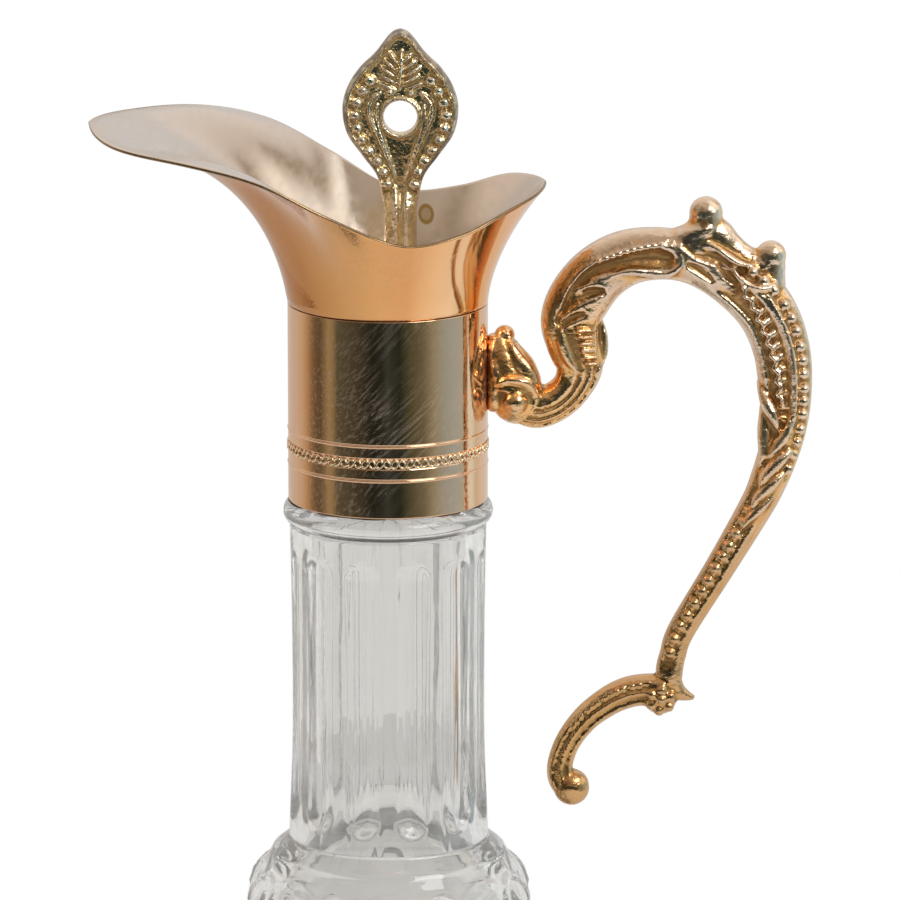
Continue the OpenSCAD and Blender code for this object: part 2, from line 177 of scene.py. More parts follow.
class Shape:
    """A mesh in the making, in millimetres, shaped with bmesh operators."""

    def __init__(self) -> None:
        """Starts an empty shape."""
        self.bm = bmesh.new()

    def lathe(self, profile: Points, steps: int, closed: bool = False) -> list[BMVert]:
        """Turns a profile round the vertical axis: one sector first, and then its copies.

        Args:
            profile: (radius, height) points.
            steps: The number of steps in the turn, a multiple of SECTORS.
            closed: Whether the profile's last point joins its first.

        Returns:
            The turned vertices.
        """
        bm = self.bm
        row = [bm.verts.new((r, 0.0, z)) for r, z in profile]
        edges = [bm.edges.new(pair) for pair in zip(row, row[1:])]
        if closed:
            edges.append(bm.edges.new((row[-1], row[0])))
        sector, others = tau / SECTORS, SECTORS - 1
        bmesh.ops.spin(bm, geom=row + edges, angle=sector, steps=steps // SECTORS, **TURNED)
        wedge = bm.verts[:] + bm.edges[:] + bm.faces[:]
        bmesh.ops.spin(bm, geom=wedge, angle=sector * others, steps=others, use_duplicate=True, **TURNED)
        bmesh.ops.remove_doubles(bm, verts=bm.verts[:], dist=1e-3)
        return bm.verts[:]

    def take_in(self, part: BMesh) -> None:
        """Moves a part into the shape. A part is built apart because that is much faster."""
        mesh = bpy.data.meshes.new("part")
        part.to_mesh(mesh)
        part.free()
        self.bm.from_mesh(mesh)
        bpy.data.meshes.remove(mesh)

    def loft(self, rings: Sequence[Sequence[Vector]]) -> None:
        """Extrudes a closed loop through rings of equally many points, and closes both ends."""
        bm = bmesh.new()
        sides = len(rings[0])
        loop = bmesh.ops.create_circle(bm, cap_ends=True, radius=1.0, segments=sides)["verts"]
        for vert, place in zip(loop, rings[0]):
            vert.co = place
        for ring in rings[1:]:
            order = {vert: k for k, vert in enumerate(loop)}
            edges = [bm.edges.get((loop[k], loop[(k + 1) % sides])) for k in range(sides)]
            grown = bmesh.ops.extrude_edge_only(bm, edges=edges)["geom"]
            loop = [None] * sides
            for vert in only_verts(grown):
                k = next(order[e.other_vert(vert)] for e in vert.link_edges
                         if e.other_vert(vert) in order)
                loop[k] = vert
                vert.co = ring[k]
        bm.faces.new(loop)
        self.take_in(bm)

    def ovals(self, stations: Points, sides: int) -> None:
        """Lofts ovals: the reach, height, half width, half depth and outer end's lift of each."""
        self.loft([[Vector((x + wide * c, deep * s, SEAM + z + tall * c)) for c, s in circle(sides)]
                   for x, z, wide, deep, tall in stations])

    def ball(self, centre: Point, radius: float, scale: Point = (1, 1, 1), detail: int = 2) -> None:
        """Adds a ball that is stretched along each axis by its scale."""
        bm = bmesh.new()
        place = Matrix.Translation(centre) @ Matrix.Diagonal((*scale, 1.0))
        bmesh.ops.create_icosphere(bm, subdivisions=detail, radius=radius, matrix=place)
        self.take_in(bm)

    def pair(self, centre: Point, radius: float, scale: Point = (1, 1, 1), detail: int = 2) -> None:
        """Adds such a ball and its mirror image on the other face."""
        x, y, z = centre
        for side in SIDES:
            self.ball((x, side * y, z), radius, scale, detail)

    def finish(self, name: str) -> Object:
        """Makes the object, in metres, with its faces pointing outwards."""
        bmesh.ops.recalc_face_normals(self.bm, faces=self.bm.faces[:])
        bmesh.ops.scale(self.bm, vec=(MM, MM, MM), verts=self.bm.verts[:])
        mesh = bpy.data.meshes.new(name)
        self.bm.to_mesh(mesh)
        self.bm.free()
        mesh.shade_smooth()
        return in_scene(name, mesh)


def cast_in_one(piece: Object, grain: float) -> None:
    """Fuses a piece's overlapping forms into one skin with soft corners, as in a mould.

    Args:
        piece: The piece, in metres.
        grain: The size of the skin's faces, in millimetres.
    """
    remesh = piece.modifiers.new("skin", "REMESH")
    remesh.mode = "VOXEL"
    remesh.voxel_size = grain * MM
    remesh.use_smooth_shade = True
    soften = piece.modifiers.new("soften", "SMOOTH")
    soften.factor = 0.5
    soften.iterations = 2
    bpy.context.view_layer.update()
    evaluated = piece.evaluated_get(bpy.context.evaluated_depsgraph_get())
    skin = bpy.data.meshes.new_from_object(evaluated)
    piece.modifiers.clear()
    old = piece.data
    piece.data = skin
    bpy.data.meshes.remove(old)
    skin.name = piece.name
    skin.shade_smooth()


def read(mesh: Mesh, what: str) -> np.ndarray:
    """Reads the places ("co") or the normals ("normal") of a mesh's points."""
    values = np.empty(len(mesh.vertices) * 3)
    mesh.vertices.foreach_get(what, values)
    return values.reshape(-1, 3)


def mark(mesh: Mesh, name: str, values: np.ndarray) -> None:
    """Writes a value from 0 to 1 for each point of a mesh to an attribute."""
    layer = mesh.attributes.new(name, "FLOAT", "POINT")
    layer.data.foreach_set("value", np.clip(values, 0, 1).astype(np.float32))


def mark_hollows(mesh: Mesh, rounds: int, depth: float) -> None:
    """Writes how hollow the skin is at each point to the attribute "hollow".

    The value is 0.5 on flat metal, near 1 in the hollows and near 0 on the high parts.

    Args:
        mesh: A finished piece's mesh, in metres.
        rounds: How widely the skin is averaged.
        depth: The depth that counts as fully hollow, in millimetres.
    """
    place = read(mesh, "co")
    count = len(place)
    ends = np.empty(len(mesh.edges) * 2, np.int32)
    mesh.edges.foreach_get("vertices", ends)
    near = np.maximum(np.bincount(ends, minlength=count), 1)
    starts, ends = ends.reshape(-1, 2).T
    average = place
    for _ in range(rounds):
        average = np.stack([(np.bincount(starts, column[ends], count)
                             + np.bincount(ends, column[starts], count)) / near
                            for column in average.T], 1)
    hollow = ((average - place) * read(mesh, "normal")).sum(1) / (depth * MM)
    mark(mesh, "hollow", 0.5 + 0.5 * hollow)


# ---- finishes ----


@dataclass(frozen=True)
class Value:
    """One output of a node, with the sums that a finish needs."""

    wiring: "Wiring"
    socket: NodeSocket

    def sum(self, operation: str, *others: "Value | float") -> "Value":
        """Adds a math node that takes this value first."""
        return self.wiring.value("Math", dict(enumerate((self, *others))), operation=operation)

    def __add__(self, other: "Value | float") -> "Value":
        """Adds another value."""
        return self.sum("ADD", other)

    def __sub__(self, other: "Value | float") -> "Value":
        """Takes another value off."""
        return self.sum("SUBTRACT", other)

    def __mul__(self, other: "Value | float") -> "Value":
        """Multiplies by another value."""
        return self.sum("MULTIPLY", other)

    def most(self, other: "Value | float") -> "Value":
        """Gives the larger of this and another value."""
        return self.sum("MAXIMUM", other)

    def rise(self, low: float, high: float, start: float = 0.0, end: float = 1.0) -> "Value":
        """Maps this value smoothly from low..high to start..end."""
        inputs = {"Value": self, "From Min": low, "From Max": high, "To Min": start, "To Max": end}
        return self.wiring.value("MapRange", inputs, "Result", interpolation_type="SMOOTHSTEP")

    def mix(self, first: "Value | Point", second: "Value | Point") -> "Value":
        """Mixes two colours, with this value as the second one's share."""
        return self.wiring.value("Mix", {0: self, 6: first, 7: second}, 2, data_type="RGBA")


class Wiring:
    """A material's or a world's nodes, added and joined in short lines."""

    def __init__(self, owner: Material | World) -> None:
        """Empties the owner's node tree."""
        owner.use_nodes = True
        self.tree = owner.node_tree
        self.tree.nodes.clear()

    def add(self, kind: str, inputs: dict, **settings: object) -> Node:
        """Adds one node.

        Args:
            kind: The node's type, without "ShaderNode".
            inputs: Constants or other nodes' values for its sockets, by name or number.
            **settings: Its other settings.

        Returns:
            The node.
        """
        node = self.tree.nodes.new("ShaderNode" + kind)
        for key, value in settings.items():
            setattr(node, key, value)
        for key, value in inputs.items():
            socket = node.inputs[key]
            if isinstance(value, Value):
                self.tree.links.new(value.socket, socket)
            else:
                socket.default_value = (*value, 1) if socket.type == "RGBA" else value
        return node

    def value(self, kind: str, inputs: dict | None = None, output: str | int = 0,
              **settings: object) -> Value:
        """Adds such a node and gives one of its outputs."""
        return Value(self, self.add(kind, inputs or {}, **settings).outputs[output])

    def place(self, space: str = "Object") -> list[Value]:
        """Gives the coordinates of a point on an object, or of a direction in a world's space."""
        parts = self.add("SeparateXYZ", {0: self.value("TexCoord", output=space)})
        return [Value(self, socket) for socket in parts.outputs]

    def away(self, reach: float, rise: float, squash: float = 1.0) -> Value:
        """Gives the distance from a spot in the handle's plane, with heights squashed."""
        x, _, z = self.place()
        level = self.value("CombineXYZ", {0: x, 2: z * squash})
        return self.value("VectorMath", {0: level, 1: (reach, 0, rise * squash)}, "Value",
                          operation="DISTANCE")

    def noise(self, scale: float, detail: float = 3.0, stretch: Point = (1, 1, 1),
              turn: Point = (0, 0, 0)) -> Value:
        """Adds a noise pattern fixed to the object.

        Args:
            scale: How fine it is, per metre.
            detail: How many finer layers it has.
            stretch: How much finer it is along each of its own axes.
            turn: How those axes are turned from the object's, in degrees.

        Returns:
            The pattern's value.
        """
        angles, sizes = [radians(a) for a in turn], [1 / s for s in stretch]
        spot = self.value("TexCoord", output="Object")
        turned = self.value("Mapping", {"Vector": spot, "Rotation": angles, "Scale": sizes},
                            vector_type="TEXTURE")
        return self.value("TexNoise", {"Vector": turned, "Scale": scale, "Detail": detail,
                                       "Roughness": 0.55}, "Fac")

    def around(self, light_zones: Points, space: str = "Object") -> Value:
        """Colours the directions round the jug.

        Args:
            light_zones: Angles from the front, in degrees from -180 to 180, and the colour or the level
            at each: the room's light in a world, and a painted reflection on a surface.
            space: The coordinates that the direction is taken from.

        Returns:
            The colour.
        """
        x, y, _ = self.place(space)
        turn = x.sum("ARCTAN2", y * -1.0).sum("MULTIPLY_ADD", 1 / tau, 0.5)
        ramp = self.add("ValToRGB", {0: turn})
        stops = ramp.color_ramp.elements
        for angle, *_ in light_zones[1:-1]:
            stops.new(angle / 360 + 0.5)
        for stop, (_, *colour) in zip(stops, light_zones):
            stop.color = (*(colour * 3)[:3], 1)
        return Value(self, ramp.outputs[0])

    def skin(self, rough: Value, strength: float, depth: float, **inputs: object) -> Value:
        """Adds a shader whose skin is as rough as a value shows, 1 being so deep in metres."""
        bump = self.value("Bump", {"Height": rough, "Strength": strength, "Distance": depth})
        named = {key.replace("_", " "): value for key, value in inputs.items()}
        return self.value("BsdfPrincipled", {"Normal": bump, **named})


@dataclass(frozen=True)
class Finish:
    """One surface finish. The classes below add what each finish needs."""

    name: str

    def shade(self, wiring: Wiring) -> Value:
        """Adds the finish's nodes and returns its shader."""
        raise NotImplementedError

    def material(self) -> Material:
        """Gives the finish's material, which is made once."""
        found = bpy.data.materials.get(self.name)
        if found:
            return found
        made = bpy.data.materials.new(self.name)
        wiring = Wiring(made)
        wiring.add("OutputMaterial", {"Surface": self.shade(wiring)})
        return made


@dataclass(frozen=True)
class MirrorPlate(Finish):
    """Mirror-polished plate on sheet metal, with hairline scratches, dust and a film of haze. Given light
    zones, its colour is a painted reflection that changes round the jug.
    """

    colour: Point = (0.83, 0.52, 0.32)
    tarnish: Point = (0.66, 0.38, 0.2)
    gloss: float = 0.05
    haze: float = 0.16
    film: float = 0.012
    marks: float = 0.09
    # light zones: colours by the angle round the jug, which paint a reflection onto the plate
    light_zones: Points = ()

    def shade(self, wiring: Wiring) -> Value:
        """Adds the plate's nodes and returns its shader."""
        cloud = wiring.noise(38, 4)
        hairs = wiring.noise(1900, 2, (0.025, 1, 1), (0, -48, 0)).rise(0.42, 0.72)
        swirls = wiring.noise(1500, 2, (0.03, 1, 1), (0, -40, 12)).rise(0.45, 0.75)
        rubbed = wiring.noise(24, 2, turn=(20, 0, 40)).rise(0.45, 0.6)
        worn = (hairs * cloud.rise(0.38, 0.62)).most(swirls * rubbed)
        marked = worn.most(wiring.noise(900, 1).rise(0.76, 0.8))
        # with light zones, the base colour is a painted reflection that changes round the jug
        plated = wiring.around(self.light_zones) if self.light_zones else self.colour
        polished = wiring.skin(
            worn * 0.5 + wiring.noise(55, 2), 0.03, 0.0006, Metallic=1.0,
            Base_Color=cloud.rise(0.54, 0.8, 0.0, 0.3).mix(plated, self.tarnish),
            Roughness=marked.rise(0.0, 1.0, self.gloss, self.haze))
        pale = [0.5 + 0.5 * c for c in self.colour]
        dusty = wiring.value("BsdfPrincipled", {"Base Color": pale, "Roughness": 0.8})
        film = wiring.noise(60, 5, (1, 1, 0.6)).rise(0.4, 0.75, 0.0, self.film)
        return wiring.value("MixShader", {0: film + marked * self.marks, 1: polished, 2: dusty})


@dataclass(frozen=True)
class SatinPlate(Finish):
    """Paler plate on the inside of the spout, with a fine drawn grain and old stains."""

    colour: Point = (0.7, 0.59, 0.5)
    stain: Point = (0.42, 0.32, 0.24)
    ring: Point = (0.36, 0.2, 0.02)
    ring_at: Point = (0.0091, 0.2694)
    ring_r: float = 0.0015
    ring_squash: float = 0.85
    gloss: float = 0.2

    def shade(self, wiring: Wiring) -> Value:
        """Adds the plate's nodes and returns its shader."""
        grain = wiring.noise(520, 2, (1, 0.08, 1))
        cloud = wiring.noise(30, 4)
        stained = wiring.noise(120, 5, (1, 1.8, 1)).rise(0.56, 0.72) * cloud.rise(0.5, 0.66)
        away = wiring.away(*self.ring_at, self.ring_squash)
        edge = (away - self.ring_r).sum("ABSOLUTE")
        edge = edge.rise(self.ring_r * 0.4, self.ring_r * 0.15, 0.0, 0.85)
        oval = edge.most(away.rise(self.ring_r * 1.1, self.ring_r * 0.9, 0.0, 0.5))
        oval = oval * wiring.place()[1].rise(0.0, 0.004)
        colour = oval.mix((stained * 0.7).mix(self.colour, self.stain), self.ring)
        return wiring.skin(grain, 0.05, 0.0003, Base_Color=colour, Metallic=1.0,
                           Roughness=grain.rise(0.3, 0.7, self.gloss - 0.05, self.gloss + 0.07))


@dataclass(frozen=True)
class CastPlate(Finish):
    """Plated casting: bright on its high parts; dark in its hollows, as patina where polish never reached
    and as painted shade.
    """

    colour: Point
    bright: Point = (0.87, 0.68, 0.51)
    dark: Point = (0.15, 0.075, 0.018)
    gloss: float = 0.19
    darkness: float = 0.75
    patina: float = 0.12
    uneven: float = 0.3
    lower: Point = ()
    lower_from: Point = (0.245, 0.19)
    root: Point = (0.036, 0.06)
    upper: Point = ()
    upper_from: Point = (0.284, 0.306)
    pit: Point = ()
    pit_r: float = 0.0014
    rim: Point = ()

    def shade(self, wiring: Wiring) -> Value:
        """Adds the casting's nodes and returns its shader."""
        hollow = wiring.value("Attribute", output="Fac", attribute_name="hollow")
        patch = wiring.noise(160, 4)
        uneven = hollow + (patch - 0.5) * 0.5
        patches = wiring.noise(210, 5).rise(0.48, 0.66, 0.0, self.patina)
        # dark in the hollows: patina, and painted shade standing in for the dim room mirrored there
        patina_and_painted_shade = uneven.rise(0.56, 0.86, 0.0, self.darkness).most(patches)
        worn = uneven.rise(0.5, 0.27, 0.0, 0.85)
        x, _, z = wiring.place()
        flat = self.colour
        if self.upper:
            lift = (z + x * 0.5 + patch * 0.03).rise(*self.upper_from, 0.0, 0.9)
            flat = (lift * uneven.rise(0.66, 0.5)).mix(flat, self.upper)
        if self.lower:
            worn = worn * x.rise(*self.root, 0.35, 1.0)
        plated = worn.mix(flat, self.bright)
        if self.lower:
            share = (z + patch * 0.03).rise(*self.lower_from, 0.0, 0.75)
            plated = share.mix(plated, self.lower)
        if self.pit:
            away = wiring.away(*self.pit) + wiring.noise(700, 3) * self.pit_r
            patina_and_painted_shade = patina_and_painted_shade.most(away.rise(self.pit_r * 1.5, self.pit_r * 1.2, 0.0, 0.95))
        if self.rim:
            edge = wiring.value("Attribute", output="Fac", attribute_name="rim")
            tarnish = edge * wiring.noise(420, 5).rise(0.36, 0.6, 0.35, 0.95)
            patina_and_painted_shade = patina_and_painted_shade.most(tarnish)
        colour = patina_and_painted_shade.mix(plated, self.dark)
        if self.rim:
            colour = (tarnish * 0.8).mix(colour, self.rim)
        dull = patina_and_painted_shade.most(worn * 0.3).rise(0, 1, self.gloss, self.gloss + 0.14)
        return wiring.skin(
            wiring.noise(650, 3) + wiring.noise(230, 2) * 1.6, self.uneven, 0.0005, Base_Color=colour,
            Metallic=patina_and_painted_shade.rise(0, 1, 1.0, 0.55), Roughness=dull + patch.rise(0.35, 0.7, -0.05, 0.07))


@dataclass(frozen=True)
class ClearGlass(Finish):
    """Pressed glass with a fire-polished skin that is never quite flat."""

    tint: Point = (0.83, 0.82, 0.795)
    cover: float = 0.89

    def shade(self, wiring: Wiring) -> Value:
        """Adds the glass's nodes and returns its shader."""
        ripple = wiring.noise(75, 2, (1, 1, 0.2)) + wiring.noise(260, 1, (1, 1, 0.35)) * 0.25
        return wiring.skin(ripple, 0.12, 0.0012, Base_Color=self.tint, Roughness=0.0, IOR=1.52,
                           Transmission_Weight=1.0, Alpha=self.cover)


@dataclass(frozen=True)
class Plain(Finish):
    """A hidden or half-hidden stuff: one colour broken by two noises, with a rough skin."""

    colour: Point
    second: Point
    roughness: float
    metallic: float = 0.0
    scale: float = 300.0
    relief: float = 0.3

    def shade(self, wiring: Wiring) -> Value:
        """Adds the stuff's nodes and returns its shader."""
        grain = wiring.noise(self.scale, 4)
        share = ((grain + wiring.noise(self.scale / 6, 2)) * 0.5).rise(0.42, 0.6)
        return wiring.skin(
            grain, self.relief, 0.0004, Base_Color=share.mix(self.colour, self.second),
            Metallic=self.metallic,
            Roughness=grain.rise(0.3, 0.7, self.roughness - 0.08, self.roughness + 0.08))


class Finishes(Enum):
    """The jug's finishes."""

    # The spout's outside has a painted reflection: a darker, deeper colour on the left and a paler one on
    # the right, as the mirrored table would give.
    SPOUT_OUTSIDE = MirrorPlate("spout_plate", (0.87, 0.44, 0.19), (0.7, 0.32, 0.12), 0.07, 0.14, light_zones=(
        (-180, 0.82, 0.42, 0.17), (-90, 0.52, 0.23, 0.07), (-50, 0.54, 0.23, 0.07), (-35, 0.64, 0.3, 0.1),
        (-20, 0.73, 0.37, 0.14), (-4, 0.85, 0.43, 0.165), (10, 0.84, 0.4, 0.15), (23, 0.96, 0.54, 0.25),
        (37, 0.97, 0.61, 0.33), (46, 0.84, 0.52, 0.25), (56, 0.92, 0.42, 0.12), (90, 0.86, 0.46, 0.2),
        (180, 0.82, 0.42, 0.17)))
    SPOUT_INSIDE = SatinPlate("spout_lining")
    COLLAR = MirrorPlate("collar_plate")
    BAND = CastPlate("band_plate", (0.84, 0.58, 0.34), (0.95, 0.78, 0.55), (0.12, 0.06, 0.02), 0.12,
                     patina=0.0)
    HANDLE = CastPlate("handle_plate", (0.89, 0.51, 0.2), uneven=0.45, lower=(0.6, 0.33, 0.12),
                       upper=(0.74, 0.55, 0.41), pit=(0.0755, 0.2736))
    FINIAL = CastPlate("finial_plate", (0.84, 0.68, 0.4), (0.97, 0.91, 0.78), (0.36, 0.235, 0.09), 0.1,
                       0.85, 0.4, 0.8, rim=(0.17, 0.14, 0.125))
    CAP = Plain("cap_plate", (0.6, 0.47, 0.28), (0.38, 0.28, 0.15), 0.3, 1.0, 260.0, 0.2)
    RIM = MirrorPlate("rim_edge", (0.3, 0.19, 0.1), (0.14, 0.08, 0.04), 0.2, 0.34, 0.0)
    # a near-black line under the collar's foot: painted shade where the collar meets the glass
    FOOT_SHADE = Plain("foot_shade_paint", (0.1, 0.055, 0.025), (0.03, 0.018, 0.01), 0.7, scale=500.0)
    GLASS = ClearGlass("clear_glass")
    PLASTER = Plain("old_plaster", (0.78, 0.74, 0.66), (0.66, 0.61, 0.52), 0.9, relief=0.5)
    SEAL = Plain("seal_ring", (0.5, 0.44, 0.36), (0.42, 0.36, 0.29), 0.65, scale=500.0)
    CORK = Plain("cork_grain", (0.53, 0.33, 0.17), (0.3, 0.16, 0.07), 0.85, scale=420.0, relief=0.6)
    STEEL = Plain("zinc_steel", (0.6, 0.6, 0.61), (0.48, 0.48, 0.5), 0.3, 1.0, 700.0, 0.12)


class Slot(Enum):
    """The record's material slots, named for the new pieces but not given to them."""

    GLASS = "pressed_glass"
    PLASTER = "plaster"
    POLISHED = "polished_plate"
    CAST = "cast_plate"
    AGED = "aged_plate"


class Body(Enum):
    """The bodies that the pieces ride on."""

    JUG = "jug"
    STOPPER = "stopper"


def dress(piece: Object, body: Body, slot: Slot, *finishes: Finishes) -> None:
    """Gives a new piece its materials and the body that it rides on.

    Args:
        piece: The piece.
        body: What it rides on.
        slot: The record's slot that it takes its finish from. It is not used.
        *finishes: Its materials, in the order of its faces' numbers.
    """
    for finish in finishes:
        piece.data.materials.append(finish.value.material())
    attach(piece, body.value)
    LOG.info("%s: %d faces on %s", piece.name, len(piece.data.polygons), body.value)


# ---- the bottle ----


@dataclass
class Bottle:
    """The pressed glass bottle: flutes on the neck, buttons on the shoulder, thumbprints below."""

    steps: int = 288
    body_r: float = 46.93
    body_h: float = 122.0
    neck_r: float = 23.2
    bead_r: float = 3.0
    finish_r: float = 19.8
    mouth_r: float = 15.5
    bore_r: float = 18.4
    flutes: int = 12
    flute_r: float = 6.8
    flute_depth: float = 1.3
    flute_low: float = 132.0
    flute_high: float = 190.0
    buttons: int = 8
    button_r: float = 6.4
    button_z: float = 109.3
    waist_z: float = 109.5
    swag_z: float = 113.9
    upper_ring_z: float = 118.9
    lower_ring_z: float = 101.8
    prints: int = 12
    print_r: float = 22.0
    print_depth: float = 1.8
    print_rows: Points = ((74.4, 0.0), (45.1, 0.5))
    shoulder: Point = (94, 123)
    relief_low: float = 20.0
    wavy_span: Point = (95, 215)
    star_points: int = 16
    star_depth: float = 1.3
    star_span: Point = (8, 33)
    streaks: Points = ((-97, 0.3), (-76, 0.2), (-118, 0.22), (-48, 0.2), (-140, 0.25), (62, 0.3),
                       (108, 0.25), (20, 0.2))

    def outer_profile(self) -> list[Point]:
        """Gives the outline from the middle of the base up to the mouth's outer edge."""
        base = [(0, 0), (3, 0), (6, 0), (8, 0)] + [(8 + 1.6 * k, 0) for k in range(1, 18)]
        foot = [(36.4, 0.15), (37.1, 0.6), (37.5, 1.5), (37.5, 3), (37.4, 4.6), (37, 6), (36.2, 7.1),
                (34.6, 8.6), (33, 10.6), (32.2, 12.4)]
        body = smooth([(32, 14), (41.3, 29.3), (45.6, 46.4), (self.body_r, 61), (44, 78.1),
                       (38.9, 92.7), (33.9, 101.3)], 8)
        shoulder = smooth([(33.9, 101.3), (34.5, 107), (33.1, 111.6), (30.5, 115), (27.6, 119),
                           (24.2, self.body_h)], 8)
        neck = smooth([(24.2, self.body_h), (23.3, 145.4), (self.neck_r, 161), (23.35, 180.5),
                       (23.7, COLLAR_FOOT - 2 * self.bead_r)], 8)
        low = [p for p in evenly(neck, 0.7) if p[1] < 133]
        high = [p for p in evenly(neck, 0.7) if p[1] > 187.6]
        fluted = (134.5, 138, 143, 149, 155, 161, 167, 173, 179, 184, 187)
        radii, heights = zip(*neck)
        middle = list(zip(np.interp(fluted, heights, radii).tolist(), fluted))
        centre = COLLAR_R + 1.25 - self.bead_r
        bead = [(centre + self.bead_r * cos(a), COLLAR_FOOT + self.bead_r * (sin(a) - 1))
                for a in (radians(10 * k) for k in range(-8, 9))]
        finish = [(self.finish_r, z) for z in (COLLAR_FOOT, COLLAR_FOOT + 14, MOUTH - 14, MOUTH - 0.6)]
        return (base + foot + evenly(body, 1.35)[:-1] + evenly(shoulder, 0.72)[:-1] + low + middle
                + high + bead + [(centre, COLLAR_FOOT)] + finish + [(self.finish_r - 0.6, MOUTH)])

    def inner_profile(self) -> list[Point]:
        """Gives the cavity's outline from the mouth down to the middle of its floor."""
        mouth = [(self.mouth_r + 0.6, MOUTH), (self.mouth_r, MOUTH - 0.6), (self.mouth_r, MOUTH - 12),
                 (self.mouth_r, MOUTH - 26), (self.mouth_r + 1, MOUTH - 29), (self.bore_r - 0.4, 214)]
        cavity = smooth([(self.bore_r, 130), (20.8, 119), (28.6, 102), (38, 80.5), (42, 61), (38, 41.5),
                         (30.5, 23), (19, 15.5)], 8)
        neck = [(self.bore_r, z) for z in range(210, 130, -3)]
        return mouth + neck + evenly(cavity, 2.6) + [(13, 14.5), (7, 14.1), (0, 14)]

    def hollowed(self, angle: float, z: float, r: float) -> float:
        """Cuts the flutes and the thumbprints into a radius."""
        pitch = tau / self.flutes
        reach = self.neck_r + self.flute_r - self.flute_depth
        past = max(self.flute_low - z, z - self.flute_high, 0.0)
        r = self.pressed(r, (angle % pitch) - pitch / 2, reach, self.flute_r, past)
        pitch = tau / self.prints
        reach = self.body_r - 1.8 + self.print_r - self.print_depth
        for row_z, turn in self.print_rows:
            off = ((angle / pitch - turn + 0.5) % 1 - 0.5) * pitch
            r = self.pressed(r, off, reach, self.print_r, abs(z - row_z))
        return r

    @staticmethod
    def pressed(r: float, off: float, reach: float, ball: float, past: float) -> float:
        """Presses a round tool into a radius: off is the angle from the tool's middle, reach its
        distance from the axis, ball its radius, and past how far its round end has been passed."""
        left = ball * ball - past * past - (reach * sin(off)) ** 2
        if past >= ball or left <= 0:
            return r
        return soft_min(r, reach * cos(off) - sqrt(left), 0.28)

    def raised(self, angle: float, z: float, r: float) -> float:
        """Raises the buttons, the swags between them, and a ring above and below them."""
        if not self.shoulder[0] < z < self.shoulder[1]:
            return r
        pitch = tau / self.buttons
        off = (angle / pitch % 1 - 0.5) * pitch
        away = hypot(r * off, (z - self.button_z) * 1.12)
        rim = 0.85 * hump(away, self.button_r - 0.9, 1.0)
        dome = 1.3 * sqrt(max(1 - (away / (self.button_r - 1.9)) ** 2, 0.0))
        outside = ease(self.button_r - 0.6, self.button_r + 0.6, away)
        swag = 0.55 * hump(z, self.swag_z + 1.3 * cos(self.buttons * angle), 0.9)
        sunk = 0.45 * hump(z, self.waist_z, 4.5)
        rings = 0.4 * hump(z, self.upper_ring_z, 0.9) + 0.5 * hump(z, self.lower_ring_z, 1.2)
        return r + rim + dome + (swag - sunk) * outside + rings

    def star(self, angle: float, r: float) -> float:
        """Gives the depth of the star's grooves in the underside."""
        start, end = self.star_span
        if not start < r < end:
            return 0.0
        pitch = tau / self.star_points
        off = (angle / pitch + 0.5) % 1 - 0.5
        fade = plateau(start, start + 2, end - 2, end, r)
        return max(self.star_depth - abs(r * sin(off * pitch)), 0.0) * fade

    def wavy(self, angle: float, z: float) -> float:
        """Gives the unevenness of the neck's inner wall, with a few long streaks."""
        spot = Vector((cos(angle) * 1.7, sin(angle) * 1.7, z / 55))
        uneven = 0.16 * noise.noise(spot) + 0.05 * noise.noise(spot * 3.1)
        for middle, size in self.streaks:
            drift = 2.2 * noise.noise(Vector((middle, 0.3, z / 17)))
            off = (degrees(angle) - middle - drift + 180) % 360 - 180
            long = plateau(118, 128, 190 - abs(middle) / 10, 204, z)
            uneven -= size * exp(-((off / 1.5) ** 2)) * long
        return uneven

    def build(self) -> None:
        """Makes the bottle in place of its plain solid."""
        shape, cavity = Shape(), Shape()
        for vert in shape.lathe(self.outer_profile(), self.steps):
            r, angle, z = polar(vert)
            if z < 0.05:
                vert.co.z = self.star(angle, r)
            elif self.relief_low < z < COLLAR_FOOT - 1:
                vert.co.xy = vert.co.xy * (self.raised(angle, z, self.hollowed(angle, z, r)) / r)
        for vert in cavity.lathe(self.inner_profile(), self.steps):
            r, angle, z = polar(vert)
            if self.wavy_span[0] < z < self.wavy_span[1]:
                vert.co.xy = vert.co.xy * (1 + self.wavy(angle, z) / r)
        shape.take_in(cavity.bm)
        bmesh.ops.bridge_loops(shape.bm, edges=[e for e in shape.bm.edges if e.is_boundary])
        piece = shape.finish("bottle_glass")
        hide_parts("glass_bottle")
        dress(piece, Body.JUG, Slot.GLASS, Finishes.GLASS)


# ---- the collar and the spout ----


